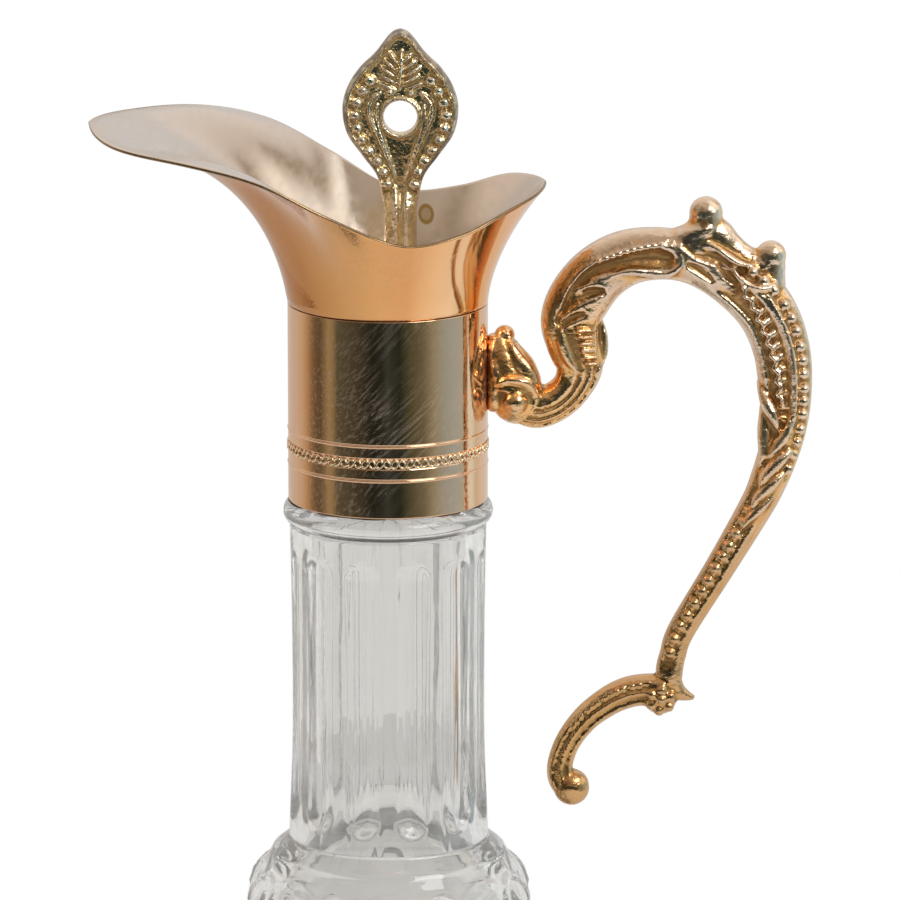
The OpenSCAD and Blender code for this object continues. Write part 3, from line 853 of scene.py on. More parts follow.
@dataclass
class Collar:
    """The plated collar, its rolled lines and its chain band."""

    steps: int = 252
    band_z: float = 13.4
    line_gap: float = 4.2
    line: Points = ((-0.62, 0), (-0.5, 0), (-0.42, -0.03), (-0.3, -0.02), (-0.2, 0.1), (-0.08, 0.17),
                    (0.08, 0.17), (0.2, 0.1), (0.3, -0.02), (0.42, -0.03), (0.5, 0), (0.62, 0))
    bed: Points = ((-1.55, 0), (-1.42, 0), (-1.3, -0.1), (-1.1, -0.15), (0, -0.15), (1.1, -0.15),
                   (1.3, -0.1), (1.42, 0), (1.55, 0))
    links: int = 84
    link_r: float = 0.72
    link_stretch: float = 1.35
    wire_r: float = 0.25
    tilt: float = 30.0

    def profile(self) -> list[Point]:
        """Gives the closed outline of the sheet: the outside upwards, and the inside down."""
        out, inner, band = COLLAR_R, COLLAR_R - SHEET, COLLAR_FOOT + self.band_z
        foot = [(-0.25, 0), (-0.07, 0.07), (0, 0.25), (0, 0.4), (0, 3), (0, 6)]
        rows = [(out + proud, COLLAR_FOOT + z) for proud, z in foot]
        for up, pressed in ((-self.line_gap, self.line), (0, self.bed), (self.line_gap, self.line)):
            rows += [(out + proud, band + up + z) for z, proud in pressed]
        rows += [(out, COLLAR_FOOT + z) for z in (20, 24, 28, 32, 36, 40, 44, 46.5)]
        rows += [(out, SEAM - 0.4), (out, SEAM - 0.22), (out - 0.08, SEAM - 0.1),
                 (out - 0.4, SEAM - 0.02), (inner, SEAM)]
        return rows + [(inner, COLLAR_FOOT + z) for z in (40, 30, 20, 10, 0)]

    def build(self) -> None:
        """Makes the collar and its band in place of the plain solid."""
        shape = Shape()
        shape.lathe(self.profile(), self.steps, closed=True)
        piece = shape.finish("collar_sheet")
        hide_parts("collar")
        dress(piece, Body.JUG, Slot.POLISHED, Finishes.COLLAR)
        self.band()
        self.paint_foot_shade()

    def paint_foot_shade(self) -> None:
        """Makes a thin dark line of painted shade that spreads out unevenly from under the collar's foot,
        where it meets the glass.
        """
        shape = Shape()
        low = COLLAR_FOOT
        section = [(23.2, low + 0.1), (23.8, low + 0.12), (23.9, low), (23.85, low - 0.1),
                   (23.2, low - 0.1)]
        for vert in shape.lathe(section, self.steps, closed=True):
            x, y, z = vert.co
            spot = Vector((x, y, 0))
            # how far the painted shade line swells out from under the foot here
            swell = max(noise.noise(spot * 0.11 + Vector((0, 0, 3.7))) + 0.12, 0.0)
            swell = min(swell * 2.2, 0.7) + 0.25 * swell * noise.noise(spot * 0.9)
            if z < low + 0.11:
                wide = 1 + swell * 0.4 / hypot(x, y)
                vert.co = (x * wide, y * wide, z - 0.12 * swell)
            if swell == 0.0:
                vert.co = (x * 0.985, y * 0.985, max(z, low - 0.02))
        dress(shape.finish("painted_foot_shade"), Body.JUG, Slot.PLASTER, Finishes.FOOT_SHADE)

    def band(self) -> None:
        """Makes the chain of small links that runs round the collar."""
        shape = Shape()
        bm = shape.bm
        wire = Matrix.Translation((self.link_r, 0, 0)) @ Matrix.Rotation(radians(90), 4, "X")
        loop = bmesh.ops.create_circle(bm, radius=self.wire_r, segments=6, matrix=wire)["verts"]
        edges = list({e for v in loop for e in v.link_edges})
        bmesh.ops.spin(bm, geom=loop + edges, angle=tau, steps=12, use_merge=True, **TURNED)
        link = bm.verts[:] + bm.edges[:] + bm.faces[:]
        for k in range(self.links):
            tilt = self.tilt if k % 2 else -self.tilt
            place = (Matrix.Rotation(tau * k / self.links, 4, "Z")
                     @ Matrix.Translation((COLLAR_R, 0, COLLAR_FOOT + self.band_z))
                     @ Matrix.Rotation(radians(90), 4, "Y")
                     @ Matrix.Rotation(radians(tilt), 4, "Z")
                     @ Matrix.Diagonal((self.link_stretch, 1, 1, 1)))
            copy = bmesh.ops.duplicate(bm, geom=link)["geom"]
            bmesh.ops.transform(bm, matrix=place, verts=only_verts(copy))
        bmesh.ops.delete(bm, geom=link, context="VERTS")
        piece = shape.finish("collar_band")
        mark_hollows(piece.data, 6, 0.12)
        dress(piece, Body.JUG, Slot.POLISHED, Finishes.BAND)


@dataclass
class Spout:
    """The pouring spout: a bell that is low and round on the flanks, and long at the tip."""

    steps: int = 288
    rings: int = 44
    reach: float = 71.0
    rise: float = 43.1
    lip: float = 37.9
    flank: float = 35.4
    flank_rise: float = 20.0
    spigot: float = 4.0
    edge: list[Point] = field(init=False)

    def __post_init__(self) -> None:
        """Draws the rim from the tip to the lip: the angle from the tip, the reach, the height, and the
        two handles of the bell's outline there, as shares of the way out and of the way up."""
        out, up, lip_rise = self.reach - self.flank, self.rise - self.flank_rise, self.rise * 0.67
        self.edge = smooth((
            (0, self.reach, self.rise, 0.064, 0.454, 0.316, 0.888),
            (20, self.reach - 2.5, self.rise - 1.7, 0.066, 0.46, 0.33, 0.93),
            (40, self.reach - 10.4, self.rise - 3.1, 0.073, 0.484, 0.365, 1),
            (55, self.flank + 0.478 * out, self.rise - 6.8, 0.1, 0.46, 0.45, 0.9),
            (70, self.flank + 0.26 * out, self.flank_rise + 0.385 * up, 0.17, 0.4, 0.56, 0.76),
            (85, self.flank + 1.5, self.flank_rise + 2.5, 0.23, 0.36, 0.62, 0.68),
            (100, self.flank, self.flank_rise, 0.24, 0.35, 0.63, 0.66),
            (120, self.flank + 0.4, self.flank_rise + 2, 0.17, 0.32, 0.54, 0.66),
            (145, self.lip - 0.9, lip_rise - 2.1, 0.08, 0.29, 0.43, 0.66),
            (180, self.lip, lip_rise, 0.036, 0.27, 0.39, 0.66)), 12)

    def outline(self, angle: float) -> Callable[[float], Point]:
        """Gives the bell's outline at an angle from the handle: radius and height above the seam."""
        turn = 180 - abs(degrees(remainder(angle, tau)))
        turns, *columns = zip(*self.edge)
        reach, high, low_out, low_up, high_out, high_up = (
            float(np.interp(turn, turns, column)) for column in columns)
        out = reach - COLLAR_R
        corners = ((COLLAR_R, 0), (COLLAR_R + out * low_out, high * low_up),
                   (COLLAR_R + out * high_out, high * high_up), (reach, high))
        return lambda t: bezier(corners, t)

    def slice(self, angle: float) -> list[Point]:
        """Gives the sheet's closed outline at an angle: up the outside, and down the inside."""
        bell = self.outline(angle)
        fitted = COLLAR_R - SHEET - 0.05
        shares = [(k / self.rings) ** 0.9 for k in range(self.rings + 1)]
        outside = [bell(t) for t in shares]
        inside = []
        for t in reversed(shares[1:]):
            inward = leftward((bell(max(t - 0.01, 0)), bell(min(t + 0.01, 1))), 0)
            r, z = bell(t)
            inside.append((r + SHEET * inward.x, z + SHEET * inward.z))
        (r0, z0), (r1, z1) = outside[-1], inside[0]
        along = (r0 - outside[-2][0], z0 - outside[-2][1])
        edge = []
        for turn in (pi * k / 4 for k in (1, 2, 3)):
            share, proud = (1 - cos(turn)) / 2, sin(turn) * SHEET * 0.3 / hypot(*along)
            edge.append((r0 + (r1 - r0) * share + along[0] * proud,
                         z0 + (z1 - z0) * share + along[1] * proud))
        outside[:1] = [(COLLAR_R - 0.42, 0.03), (COLLAR_R - 0.02, 0.24)]
        return [(fitted - SHEET, -self.spigot), (fitted, -self.spigot), (fitted, -0.1),
                *outside, *edge, *inside, (fitted - SHEET, 0.6)]

    def build(self) -> None:
        """Makes the spout in place of its plain solid."""
        shape = Shape()
        placeholder = [(COLLAR_R, float(k)) for k in range(len(self.slice(0.0)))]
        number = {vert: round(vert.co.z) for vert in shape.lathe(placeholder, self.steps, closed=True)}
        slices = [self.slice(key * tau / self.steps) for key in range(self.steps)]
        for vert, k in number.items():
            _, angle, _ = polar(vert)
            r, z = slices[round(angle / tau * self.steps) % self.steps][k]
            vert.co = (r * cos(angle), r * sin(angle), SEAM + z)
        rim = 4 + self.rings
        for face in shape.bm.faces:
            low = min(number[v] for v in face.verts)
            if low in (2, 3, rim, rim + 1, rim + 2):
                face.material_index = 2
            elif low > rim or low == 0:
                face.material_index = 1
        piece = shape.finish("spout_sheet")
        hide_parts("spout")
        dress(piece, Body.JUG, Slot.POLISHED, Finishes.SPOUT_OUTSIDE, Finishes.SPOUT_INSIDE,
              Finishes.RIM)


# ---- the cast handle ----


@dataclass
class Scoop:
    """One leaf-shaped hollow in a side face, with a soft lip round it.

    Attributes:
        depth: How deep it is.
        points: (reach, height above the seam, half width) along its middle.
        lip: How far its lip stands out.
    """

    depth: float
    points: Points
    lip: float = 0.15

    def __post_init__(self) -> None:
        """Draws its middle line."""
        line = np.array(smooth(self.points, 8))
        self.places, self.halves = line[:, :2], np.maximum(line[:, 2], 0.1)
        self.low, self.high = self.places.min(axis=0) - 5, self.places.max(axis=0) + 5

    def stand(self, x: float, z: float) -> float:
        """Gives what it adds to the face at a place."""
        if not (self.low[0] < x < self.high[0] and self.low[1] < z < self.high[1]):
            return 0.0
        share = float((np.hypot(*(self.places - (x, z)).T) / self.halves).min())
        return self.lip * hump(share, 1.25, 0.5) - self.depth * max(1 - share * share, 0.0) ** 1.2


@dataclass
class Limb:
    """One swept length of the casting, in the plane of the handle.

    Attributes:
        points: (reach from the axis, height above the seam, half width) along its middle.
        relief: What its side faces stand out, from the length along it and the place across
            it, where -1 is its right edge and 1 its left as it runs.
        scoops: The hollows in its side faces.
    """

    points: Points
    relief: Callable[[float, float], float]
    scoops: Sequence[Scoop] = ()
    line: list[Point] = field(init=False)
    along: list[float] = field(init=False)

    def __post_init__(self) -> None:
        """Draws the middle line."""
        self.line = evenly(smooth(self.points, 10), 0.5)
        self.along = lengths(self.line)

    @staticmethod
    def thickness(half: float) -> float:
        """Gives the half thickness that goes with a half width."""
        return 6.0 * (half / 7.4) ** 0.8

    def station(self, k: int) -> tuple[Vector, Vector, float]:
        """Gives a station's place, the direction to its left, and its half width."""
        x, z, half = self.line[k]
        return Vector((x, 0, SEAM + z)), leftward(self.line, k), half

    def sweep(self, shape: Shape, sides: int) -> None:
        """Adds the limb to a shape, with its relief."""
        rings = []
        for k, s in enumerate(self.along):
            place, left, half = self.station(k)
            ring = []
            for c, side in circle(sides):
                v = copysign(abs(c) ** 0.8, c)
                deep = copysign(abs(side) ** 0.8, side)
                at = place + left * (v * half)
                stand = self.relief(s, v) + sum(scoop.stand(at.x, at.z - SEAM) for scoop in self.scoops)
                stand *= min(max(deep * 1.6, -1.0), 1.0)
                ring.append(at + Vector((0, self.thickness(half) * deep + stand, 0)))
            rings.append(ring)
        shape.loft(rings)

    def depth(self, x: float, z: float) -> float:
        """Gives the half thickness of the limb at a place in the plane, or 0 off it."""
        k = min(range(len(self.line)), key=lambda i: dist(self.line[i][:2], (x, z)))
        place, _, half = self.station(k)
        v = (Vector((x, 0, SEAM + z)) - place).length / half
        return self.thickness(half) * max(1 - v**2.5, 0.0) ** 0.4 if v < 1 else 0.0

    def beads(self, shape: Shape, v: float, start: float, end: float, pitch: float, radius: float,
              sink: float) -> None:
        """Adds a row of beads on both side faces.

        Args:
            shape: What they are added to.
            v: Their place across the limb, from -1 to 1.
            start: Where the row starts along the limb.
            end: Where it ends.
            pitch: The distance between beads.
            radius: Their radius.
            sink: How deep they sit, in radii.
        """
        count = round((end - start) / pitch)
        for s in (start + (end - start) * i / count for i in range(count + 1)):
            k = min(range(len(self.along)), key=lambda i: abs(self.along[i] - s))
            place, left, half = self.station(k)
            x, _, z = place + left * (v * half)
            deep = self.thickness(half) * max(1 - abs(v) ** 2.5, 0.05) ** 0.4
            shape.pair((x, deep + self.relief(s, v) - sink * radius, z), radius)


@dataclass(frozen=True)
class Stroke:
    """One modelled stroke of ornament, laid on both faces of a casting.

    Attributes:
        rise: How far it stands out of the face.
        points: (reach, height, half width) along it.
        pointed: Whether it tapers to its ends.
    """

    rise: float
    points: Points
    pointed: bool = True

    def lay(self, shape: Shape, depth: Callable[[float, float], float], at: Vector) -> None:
        """Lays the stroke on both faces.

        Args:
            shape: What it is added to.
            depth: Gives the half thickness of what it lies on, at a reach and a height.
            at: Where reach and height are measured from.
        """
        line = smooth(self.points, 6)
        last = len(line) - 1
        for side in SIDES:
            rings = []
            for k, (x, z, half) in enumerate(line):
                taper = sqrt(max(sin(pi * (k + 0.4) / (last + 0.8)), 0.05))
                share = taper if self.pointed else 1.0
                middle = at + Vector((x, side * (depth(x, z) - SUNK), z))
                across = leftward(line, k) * (half * share)
                out = Vector((0, (self.rise + SUNK) * share, 0))
                rings.append([middle + across * c + out * s for c, s in circle(12)])
            shape.loft(rings)


@dataclass
class Handle:
    """The cast scroll handle, with its leaves, beads and curls.

    Attributes:
        grain: The size of its skin's faces.
        scroll: The points of its main limb, and tail those of the limb that turns back.
        hollows: The depth and the points of each scoop in the scroll.
        leaves: The rise and the points of each stroke on the scroll, and lobes those at the root.
        rows: The beads along the scroll, as Limb.beads takes them.
    """

    grain: float = 0.39
    scroll: Points = (
        (30.6, -24.8, 3.6), (33.4, -25.8, 4.7), (36.6, -25.8, 5.1), (40.6, -24.3, 4.8),
        (44.2, -20.8, 4.8), (45.9, -15.8, 5.7), (44.4, -9.8, 6.5), (43.7, -4.3, 7.1), (46.2, 1.4, 7.4),
        (50.6, 6.8, 7.1), (56.4, 10.4, 6.7), (63, 11.7, 6.3), (70.5, 11.2, 6.1), (77.5, 8.8, 6.5),
        (84, 4.6, 6.9), (89.4, -0.6, 7.1), (92.5, -6, 7), (94.4, -12, 6.8), (95.2, -18, 6.6),
        (95.5, -25, 6), (95.1, -31, 5.4), (94, -36.6, 4.9), (91.5, -44, 4.5), (88.5, -50.6, 4.1),
        (80, -65.6, 3.6), (70.9, -81, 3.3), (68.8, -87.2, 3.2), (68, -91.2, 3.3), (68.4, -94.3, 2.9),
        (70.2, -96.5, 2.1), (72.4, -97.6, 1.2), (74.1, -98, 0.5))
    tail: Points = (
        (66.8, -96.4, 4.2), (61.4, -96.1, 3.9), (57.2, -97, 3.8), (53, -99.1, 3.6), (47.8, -103.2, 3.3),
        (43.6, -108.9, 3.1), (41.6, -114.8, 3.1), (42.2, -118.6, 3.4), (44, -120.4, 3.4))
    hollows: Sequence[tuple[float, Points]] = (
        (2, ((40.5, -3.9, 0.7), (42.7, 1.3, 1.1), (45.4, 5.1, 1.5), (49.4, 8.4, 1.9), (53.6, 9.9, 2.1),
             (58.4, 11, 2.3), (63.2, 11.4, 2.8), (66.4, 11, 2.4))),
        (1.6, ((41.9, -2, 0.8), (44.5, 1.3, 1.5), (47.8, 3, 1.7), (51, 3.5, 1.1))),
        (1.2, ((40.8, -5.2, 0.6), (43.5, -3.1, 1.1), (46.6, -2, 0.8))),
        (1.5, ((71.4, 14.4, 1.2), (74.4, 12.9, 1.8), (78.5, 11.2, 1.6), (82, 9.9, 0.8))),
        (1.4, ((79, 9.5, 0.7), (81.1, 7.6, 1.2), (83, 6, 0.8))),
        (1, ((71.8, 9.8, 0.7), (74.6, 8.4, 1.3), (77.4, 6.2, 0.7))),
        (1.6, ((84, 9, 0.8), (87, 7, 1.5), (90.5, 6.8, 1.5), (92.8, 8, 0.8))))
    leaves: Sequence[tuple[float, Points]] = (
        # the arch: the soft edges between its hollows
        (0.6, ((40.9, -1.4, 0.4), (42.7, 3.8, 0.55), (46, 8.2, 0.6), (50.6, 11.4, 0.6))),
        (0.7, ((52.6, 7.2, 0.5), (57.6, 8.3, 1.1), (62.6, 7.9, 1.2), (67.4, 7.9, 1.1), (70, 10, 0.8),
               (69.8, 12.8, 0.5))),
        (1.1, ((73.1, 16.8, 0.5), (78.5, 13.7, 0.9), (83.8, 10.3, 0.9), (88.4, 9.4, 0.4))),
        (1, ((82.2, 9.4, 0.4), (83.4, 7.4, 0.6), (84.6, 5.4, 0.4))),
        (1, ((84.6, 6, 0.5), (88, 4.4, 0.8), (91.4, 4.5, 0.8), (94.2, 6.4, 0.6), (95, 9.2, 0.4))),
        # the patch of ribs on the S-bend, between two soft folds
        (0.9, ((41.4, -5.6, 0.8), (41.8, -9, 1.3), (43.2, -13, 1.4), (45.6, -16.6, 0.9))),
        (0.7, ((51.3, -4.4, 0.5), (51.9, -8.6, 0.9), (51.6, -13.4, 1), (49.8, -17.4, 0.6))),
        # the bracket leaf and the three lobes on the way down
        (2.2, ((88.8, -19.4, 1), (90.6, -23.4, 1.8), (92.6, -27.6, 1.5), (93.6, -31, 0.6))),
        (1.4, ((89.8, -24.6, 0.9), (90.4, -31, 1.7), (90.2, -36.4, 1.3), (89, -40, 0.5))),
        (1.7, ((96.4, -27.4, 0.8), (95.4, -31.4, 1.5), (93, -35, 1.4), (90.6, -38, 0.6))),
        (2, ((97, -35.2, 1.2), (93.8, -38.2, 1.9), (90.6, -42, 1.4), (89, -45, 0.6))),
        (1.9, ((95.4, -41, 1.1), (91.8, -44.2, 1.8), (88.6, -47.6, 1.2), (87, -50.4, 0.5))),
        (1.6, ((92.8, -46.6, 1), (89.6, -49.6, 1.5), (86.6, -52.8, 1.1), (85, -55.4, 0.5))),
        # bands along the right-hand leg
        (1, ((89.6, 4.6, 0.6), (94, -3.4, 0.85), (96.5, -11.4, 0.9), (97.3, -20, 0.9),
             (97.1, -28, 0.8), (96, -34, 0.5))))
    lobes: Sequence[tuple[float, Points]] = (
        (1.5, ((29, -8.6, 1.2), (31, -13, 1.9), (33.8, -17, 2.1), (36.6, -20.6, 1.5))),
        (1.6, ((25.6, -19.4, 0.9), (29.2, -18, 1.4), (33.4, -19, 1.4), (35.4, -22.4, 1.1),
               (34.4, -26.4, 0.6))),
        (1.1, ((25.4, -11, 1), (25.8, -15, 1.5), (26.2, -18.6, 1.1))))
    rows: Points = (
        (0.66, 82.5, 130, 3.2, 1.5, 0), (-0.12, 84, 118, 3.2, 1.15, -0.1),
        (-0.3, 143, 183, 3.3, 1.45, -0.1), (-0.26, 144.7, 181.4, 3.3, 0.85, 0),
        (-0.84, 50, 70, 1.3, 0.7, 0.2))

    @staticmethod
    def scroll_relief(s: float, v: float) -> float:
        """Gives the relief of the scroll's side face: ridges, a spine, bands and a channel."""
        stand = 0.0
        if s < 24:
            fade = ease(24, 20, s) * ease(0.2, 0.06, v)
            stand += (0.55 * cos((v + 0.84) / 0.33 * tau) - 0.35) * fade
        if 18 < s < 86:
            fade = plateau(18, 25, 76, 86, s)
            stand -= 0.3 * plateau(-0.98, -0.78, 0.2, 0.4, v) * fade
        if 74 < s < 134:
            fade = plateau(74, 82, 128, 134, s)
            stand -= 1.1 * plateau(-0.7, -0.55, 0.02, 0.12, v) * fade
            stand -= 0.9 * plateau(0.4, 0.48, 0.9, 1, v) * fade
            stand += 0.3 * hump(v, 0.26, 0.14) * fade
        if s > 134:
            fade = plateau(134, 141, 184, 190, s)
            stand -= 1.0 * plateau(-0.74, -0.56, 0.04, 0.2, v) * fade
            stand -= 0.45 * hump(v, 0.62, 0.2) * fade
        return stand

    @staticmethod
    def tail_relief(s: float, v: float) -> float:
        """Gives the relief of the tail's side face: three long ridges."""
        return (0.42 * cos(v * 2.9 * pi) - 0.2) * ease(0, 6, s)

    @staticmethod
    def ribs() -> list[Stroke]:
        """Lists the ribs of the patch on the S-bend, from the top down."""
        rows = ((-5.8 - 1.65 * k, 0.42 * k) for k in range(6))
        return [Stroke(1.2, ((44.9 + lean, z, 0.5), (49.9 + lean * 0.2, z - 0.2, 0.55)), False)
                for z, lean in rows]

    @staticmethod
    def rope() -> Stroke:
        """Gives the wavy cord that runs down the right-hand leg."""
        middle = evenly(smooth(((84.2, 4.6), (86.9, 0.6), (89.6, -5.1), (91.9, -11.4), (93.3, -17.6),
                                (94.1, -23.9)), 8), 0.4)
        points = []
        for k, (x, z) in enumerate(middle):
            sway = leftward(middle, k) * (0.6 * sin(k * pi / 4))
            points.append((x + sway.x, z + sway.z, 0.55))
        return Stroke(0.8, points, False)

    def root(self, shape: Shape) -> None:
        """Adds the leaf and the curl that lie against the collar."""
        for rise, points in self.lobes:
            Stroke(rise, points).lay(shape, self.root_depth, SEAT)
        core = smooth(((26.6, -8, 2.6), (27.7, -11.4, 4.1), (29, -16.4, 5.5), (30, -21, 6.3)), 6)
        shape.ovals([(x, z, half, half * 1.02, 0) for x, z, half in core], 24)
        pad = smooth(((-9, 1.2, 2.4), (-11, 1.9, 3.8), (-17, 2.1, 4.6), (-24, 2.1, 4.6),
                      (-26.6, 1.6, 3)), 4)
        shape.ovals([(COLLAR_R + 1.5, z, deep, wide, 0) for z, deep, wide in pad], 24)
        shape.ball((28, 0, SEAM - 8.2), 2.55, (1, 1.1, 1))
        shape.ball((31, 0, SEAM - 23.6), 6.4, (1, 0.9, 1), 3)
        shape.pair((30.6, 4.6, SEAM - 23.6), 3.0, detail=3)

    @staticmethod
    def root_depth(x: float, z: float) -> float:
        """Gives the half thickness of the root at a place in the plane."""
        half = 2.4 + 3 * ease(-7, -20, z)
        return max(half * 1.05 * sqrt(max(1 - ((x - 29.4) / (half + 2.6)) ** 2, 0.0)), 1.2)

    def thumb_rest(self, shape: Shape) -> None:
        """Adds the two knobs and the saddle between them."""
        for post in (((76, 21.6, 3.95), (75.9, 19.8, 4.1), (75.2, 18.6, 4.7), (73.8, 17.4, 6.4),
                      (72.4, 15.8, 7.8), (72, 12.6, 8.4)),
                     ((91.6, 11.2, 3.6), (91.5, 8.6, 3.5), (90.8, 4, 4.4))):
            x, z, r = post[0]
            shape.ball((x, 0, SEAM + z), r + 0.1, (1, 0.95, 1), 3)
            shape.ovals([(x, z, half, min(half, 4.9) * 0.92, 0) for x, z, half in smooth(post, 6)], 32)
        saddle = smooth(((76.6, 17.2, 4), (79.4, 15.8, 3.7), (82, 13, 3.4), (85, 10.4, 3.4), (88, 9.4, 3.6),
                         (90.6, 9.4, 3.6)), 8)
        shape.ovals([(x, z - 0.4, half * 0.6, half * 0.95, half) for x, z, half in saddle], 24)

    def knuckle(self, shape: Shape) -> None:
        """Adds the flower where the tail turns back."""
        x, z = 65.8, SEAM - 98
        shape.ball((x, 0, z), 4.1, detail=3)
        shape.pair((x + 0.2, 3.6, z + 0.4), 1.2)
        for a in (tau * k / 6 + 0.4 for k in range(6)):
            shape.pair((x + 2.5 * cos(a), 2.95, z + 2.5 * sin(a)), 1.4)

    def build(self) -> None:
        """Makes the handle in place of its plain solid."""
        shape = Shape()
        scroll = Limb(self.scroll, self.scroll_relief, [Scoop(*hollow) for hollow in self.hollows])
        tail = Limb(self.tail, self.tail_relief)
        scroll.sweep(shape, 72)
        tail.sweep(shape, 40)
        for stroke in [Stroke(*leaf) for leaf in self.leaves] + [self.rope()] + self.ribs():
            stroke.lay(shape, scroll.depth, SEAT)
        self.root(shape)
        self.thumb_rest(shape)
        self.knuckle(shape)
        for row in self.rows:
            scroll.beads(shape, *row)
        for x, z in evenly(smooth(((50.4, 11), (55, 12.6), (60, 14), (65.2, 14.6)), 6), 1.7):
            shape.pair((x, scroll.depth(x, z) - 0.1, SEAM + z), 0.8)
        tail.beads(shape, -0.5, 6, 24, 1.6, 0.7, 0)
        shape.pair((44.4, 0.8, SEAM - 120.4), 4.35, (1, 0.8, 1), 3)
        piece = shape.finish("handle_casting")
        cast_in_one(piece, self.grain)
        # the wide averaging finds the broad hollows, which the finish darkens with patina and painted shade
        mark_hollows(piece.data, 20, 0.32)
        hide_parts("handle")
        dress(piece, Body.JUG, Slot.CAST, Finishes.HANDLE)


# ---- the stopper ----


@dataclass
class Finial:
    """The stopper's pierced finial: a leaf-shaped plate with beads, a leaf and two loops."""

    offset: float = 3.1
    half: float = 13.8
    eye_r: float = 4.0
    eye_z: float = FINIAL_TOP - 22.0
    shank_r: float = 3.9
    grain: float = 0.25
    steps: int = 240
    plate_half: float = 1.7
    spread: tuple[list[float], list[float]] = field(init=False)

    def __post_init__(self) -> None:
        """Draws the plate's outline as its reach at each angle from the eye."""
        shares = ((0.2, -23.4), (self.shank_r / self.half, -21.6), (0.398, -14.5), (0.65, -9.5), (0.92, -4),
                  (1, 2), (0.915, 7), (0.715, 11.5), (0.425, 15.5), (0.22, 19.2), (0.11, 20.6), (0, 21.1))
        line = smooth([(self.half * x, z) for x, z in shares], 8)
        self.spread = ([atan2(z, x) for x, z in line], [hypot(x, z) for x, z in line])

    def reach(self, x: float, z: float) -> float:
        """Gives how far the plate's edge lies from the eye's middle, towards a place."""
        return float(np.interp(atan2(z, abs(x)), *self.spread))

    def depth(self, x: float, z: float) -> float:
        """Gives the plate's half thickness at a place from the eye's middle."""
        away = hypot(x, z)
        from_edge, from_eye = self.reach(x, z) - away, away - self.eye_r
        deep = self.plate_half
        deep += 1.4 * hump(from_edge, 1.0, 1.15) * ease(-21, -16, z) + 0.7 * hump(from_eye, 0.5, 0.9)
        deep -= 0.9 * (1 - sqrt(min(max(from_edge, 0) / 0.9, 1.0)))
        deep -= 0.5 * (1 - sqrt(min(max(from_eye, 0) / 0.5, 1.0)))
        return max(deep, 0.6)

    def plate(self, shape: Shape) -> None:
        """Adds the pierced plate: a ring round the eye that is drawn out to the outline."""
        near = (0.0, 0.08, 0.25, 0.5, 0.9, 1.3, 1.8)
        far = (2.6, 2.1, 1.7, 1.4, 1.05, 0.7, 0.4, 0.2, 0.08, 0.0)
        shares = [k / 12 for k in range(1, 12)]
        count = len(near) + len(shares) + len(far)
        rows = {}
        placeholder = [(self.eye_r, float(k)) for k in range(2 * count)]
        for vert in shape.lathe(placeholder, self.steps, closed=True):
            k = round(vert.co.z)
            side, k = (1, k) if k < count else (-1, 2 * count - 1 - k)
            _, angle, _ = polar(vert)
            if angle not in rows:
                start, edge = self.eye_r + near[-1], self.reach(cos(angle), sin(angle))
                rows[angle] = ([self.eye_r + out for out in near]
                               + [start + (edge - far[0] - start) * share for share in shares]
                               + [edge - back for back in far])
            x, z = rows[angle][k] * cos(angle), rows[angle][k] * sin(angle)
            vert.co = (self.offset + x, side * self.depth(x, z), self.eye_z + z)

    def stem(self, shape: Shape) -> None:
        """Adds the shank, with a groove down each of its faces."""
        low, high = SHANK_FOOT, self.eye_z - 12
        rings = []
        for z in (low + (high - low) * k / 24 for k in range(25)):
            fade = ease(high, high - 11, z)
            half = self.shank_r * fade + 1 - fade
            groove = 1.1 * plateau(low + 1, low + 3, high - 4, high, z)
            rings.append([Vector((self.offset + self.shank_r * c,
                                  (half - groove * hump(c, 0.02, 0.34)) * s, z)) for c, s in circle(48)])
        shape.loft(rings)

    @staticmethod
    def ornament() -> list[Stroke]:
        """Lists the strokes: the leaf above the eye, and the loops round it."""
        strokes = [Stroke(1.35, ((0.35, 16.5, 0.5), (0.1, 12, 0.65), (-0.2, 7, 0.5)))]
        veins = ((8.2, 4.7, 10.3), (9.6, 4.9, 12.4), (11.2, 4, 14.2), (12.8, 2.9, 16))
        mirrored = [(1.2, ((0.5, low, 0.35), (out * 0.5, (low + high) / 2 - 0.2, 0.6), (out, high, 0.75)))
                    for low, out, high in veins]
        mirrored += [
            (1.35, [(x, z, 0.75) for x, z in ((0.9, -15.6), (3.4, -9), (5.9, -2.9), (7.4, 0.8), (7, 4),
                                              (4.4, 6.4))]),
            (1.1, [(x, z, 0.5) for x, z in ((0.9, -14.6), (3.3, -8), (4.9, -3.4), (5.9, 0.6), (5.4, 3.6))]),
            (0.7, ((2.7, -21, 0.8), (2.9, -15, 0.7), (4.6, -10.4, 0.5))),
            (0.8, ((0.8, 6.5, 0.4), (3.2, 7.5, 0.55), (6, 8.6, 0.4)))]
        for rise, points in mirrored:
            strokes += [Stroke(rise, [(side * x, z, half) for x, z, half in points]) for side in SIDES]
        return strokes

    def mark_rim(self, mesh: Mesh) -> None:
        """Writes how near the skin lies to the plate's outer edge to the attribute "rim"."""
        x, _, z = read(mesh, "co").T / MM
        x, z = x - self.offset, z - self.eye_z
        inside = np.interp(np.arctan2(z, np.abs(x)), *self.spread) - np.hypot(x, z)
        mark(mesh, "rim", (1.5 - inside) / 0.7 * (z > -15))

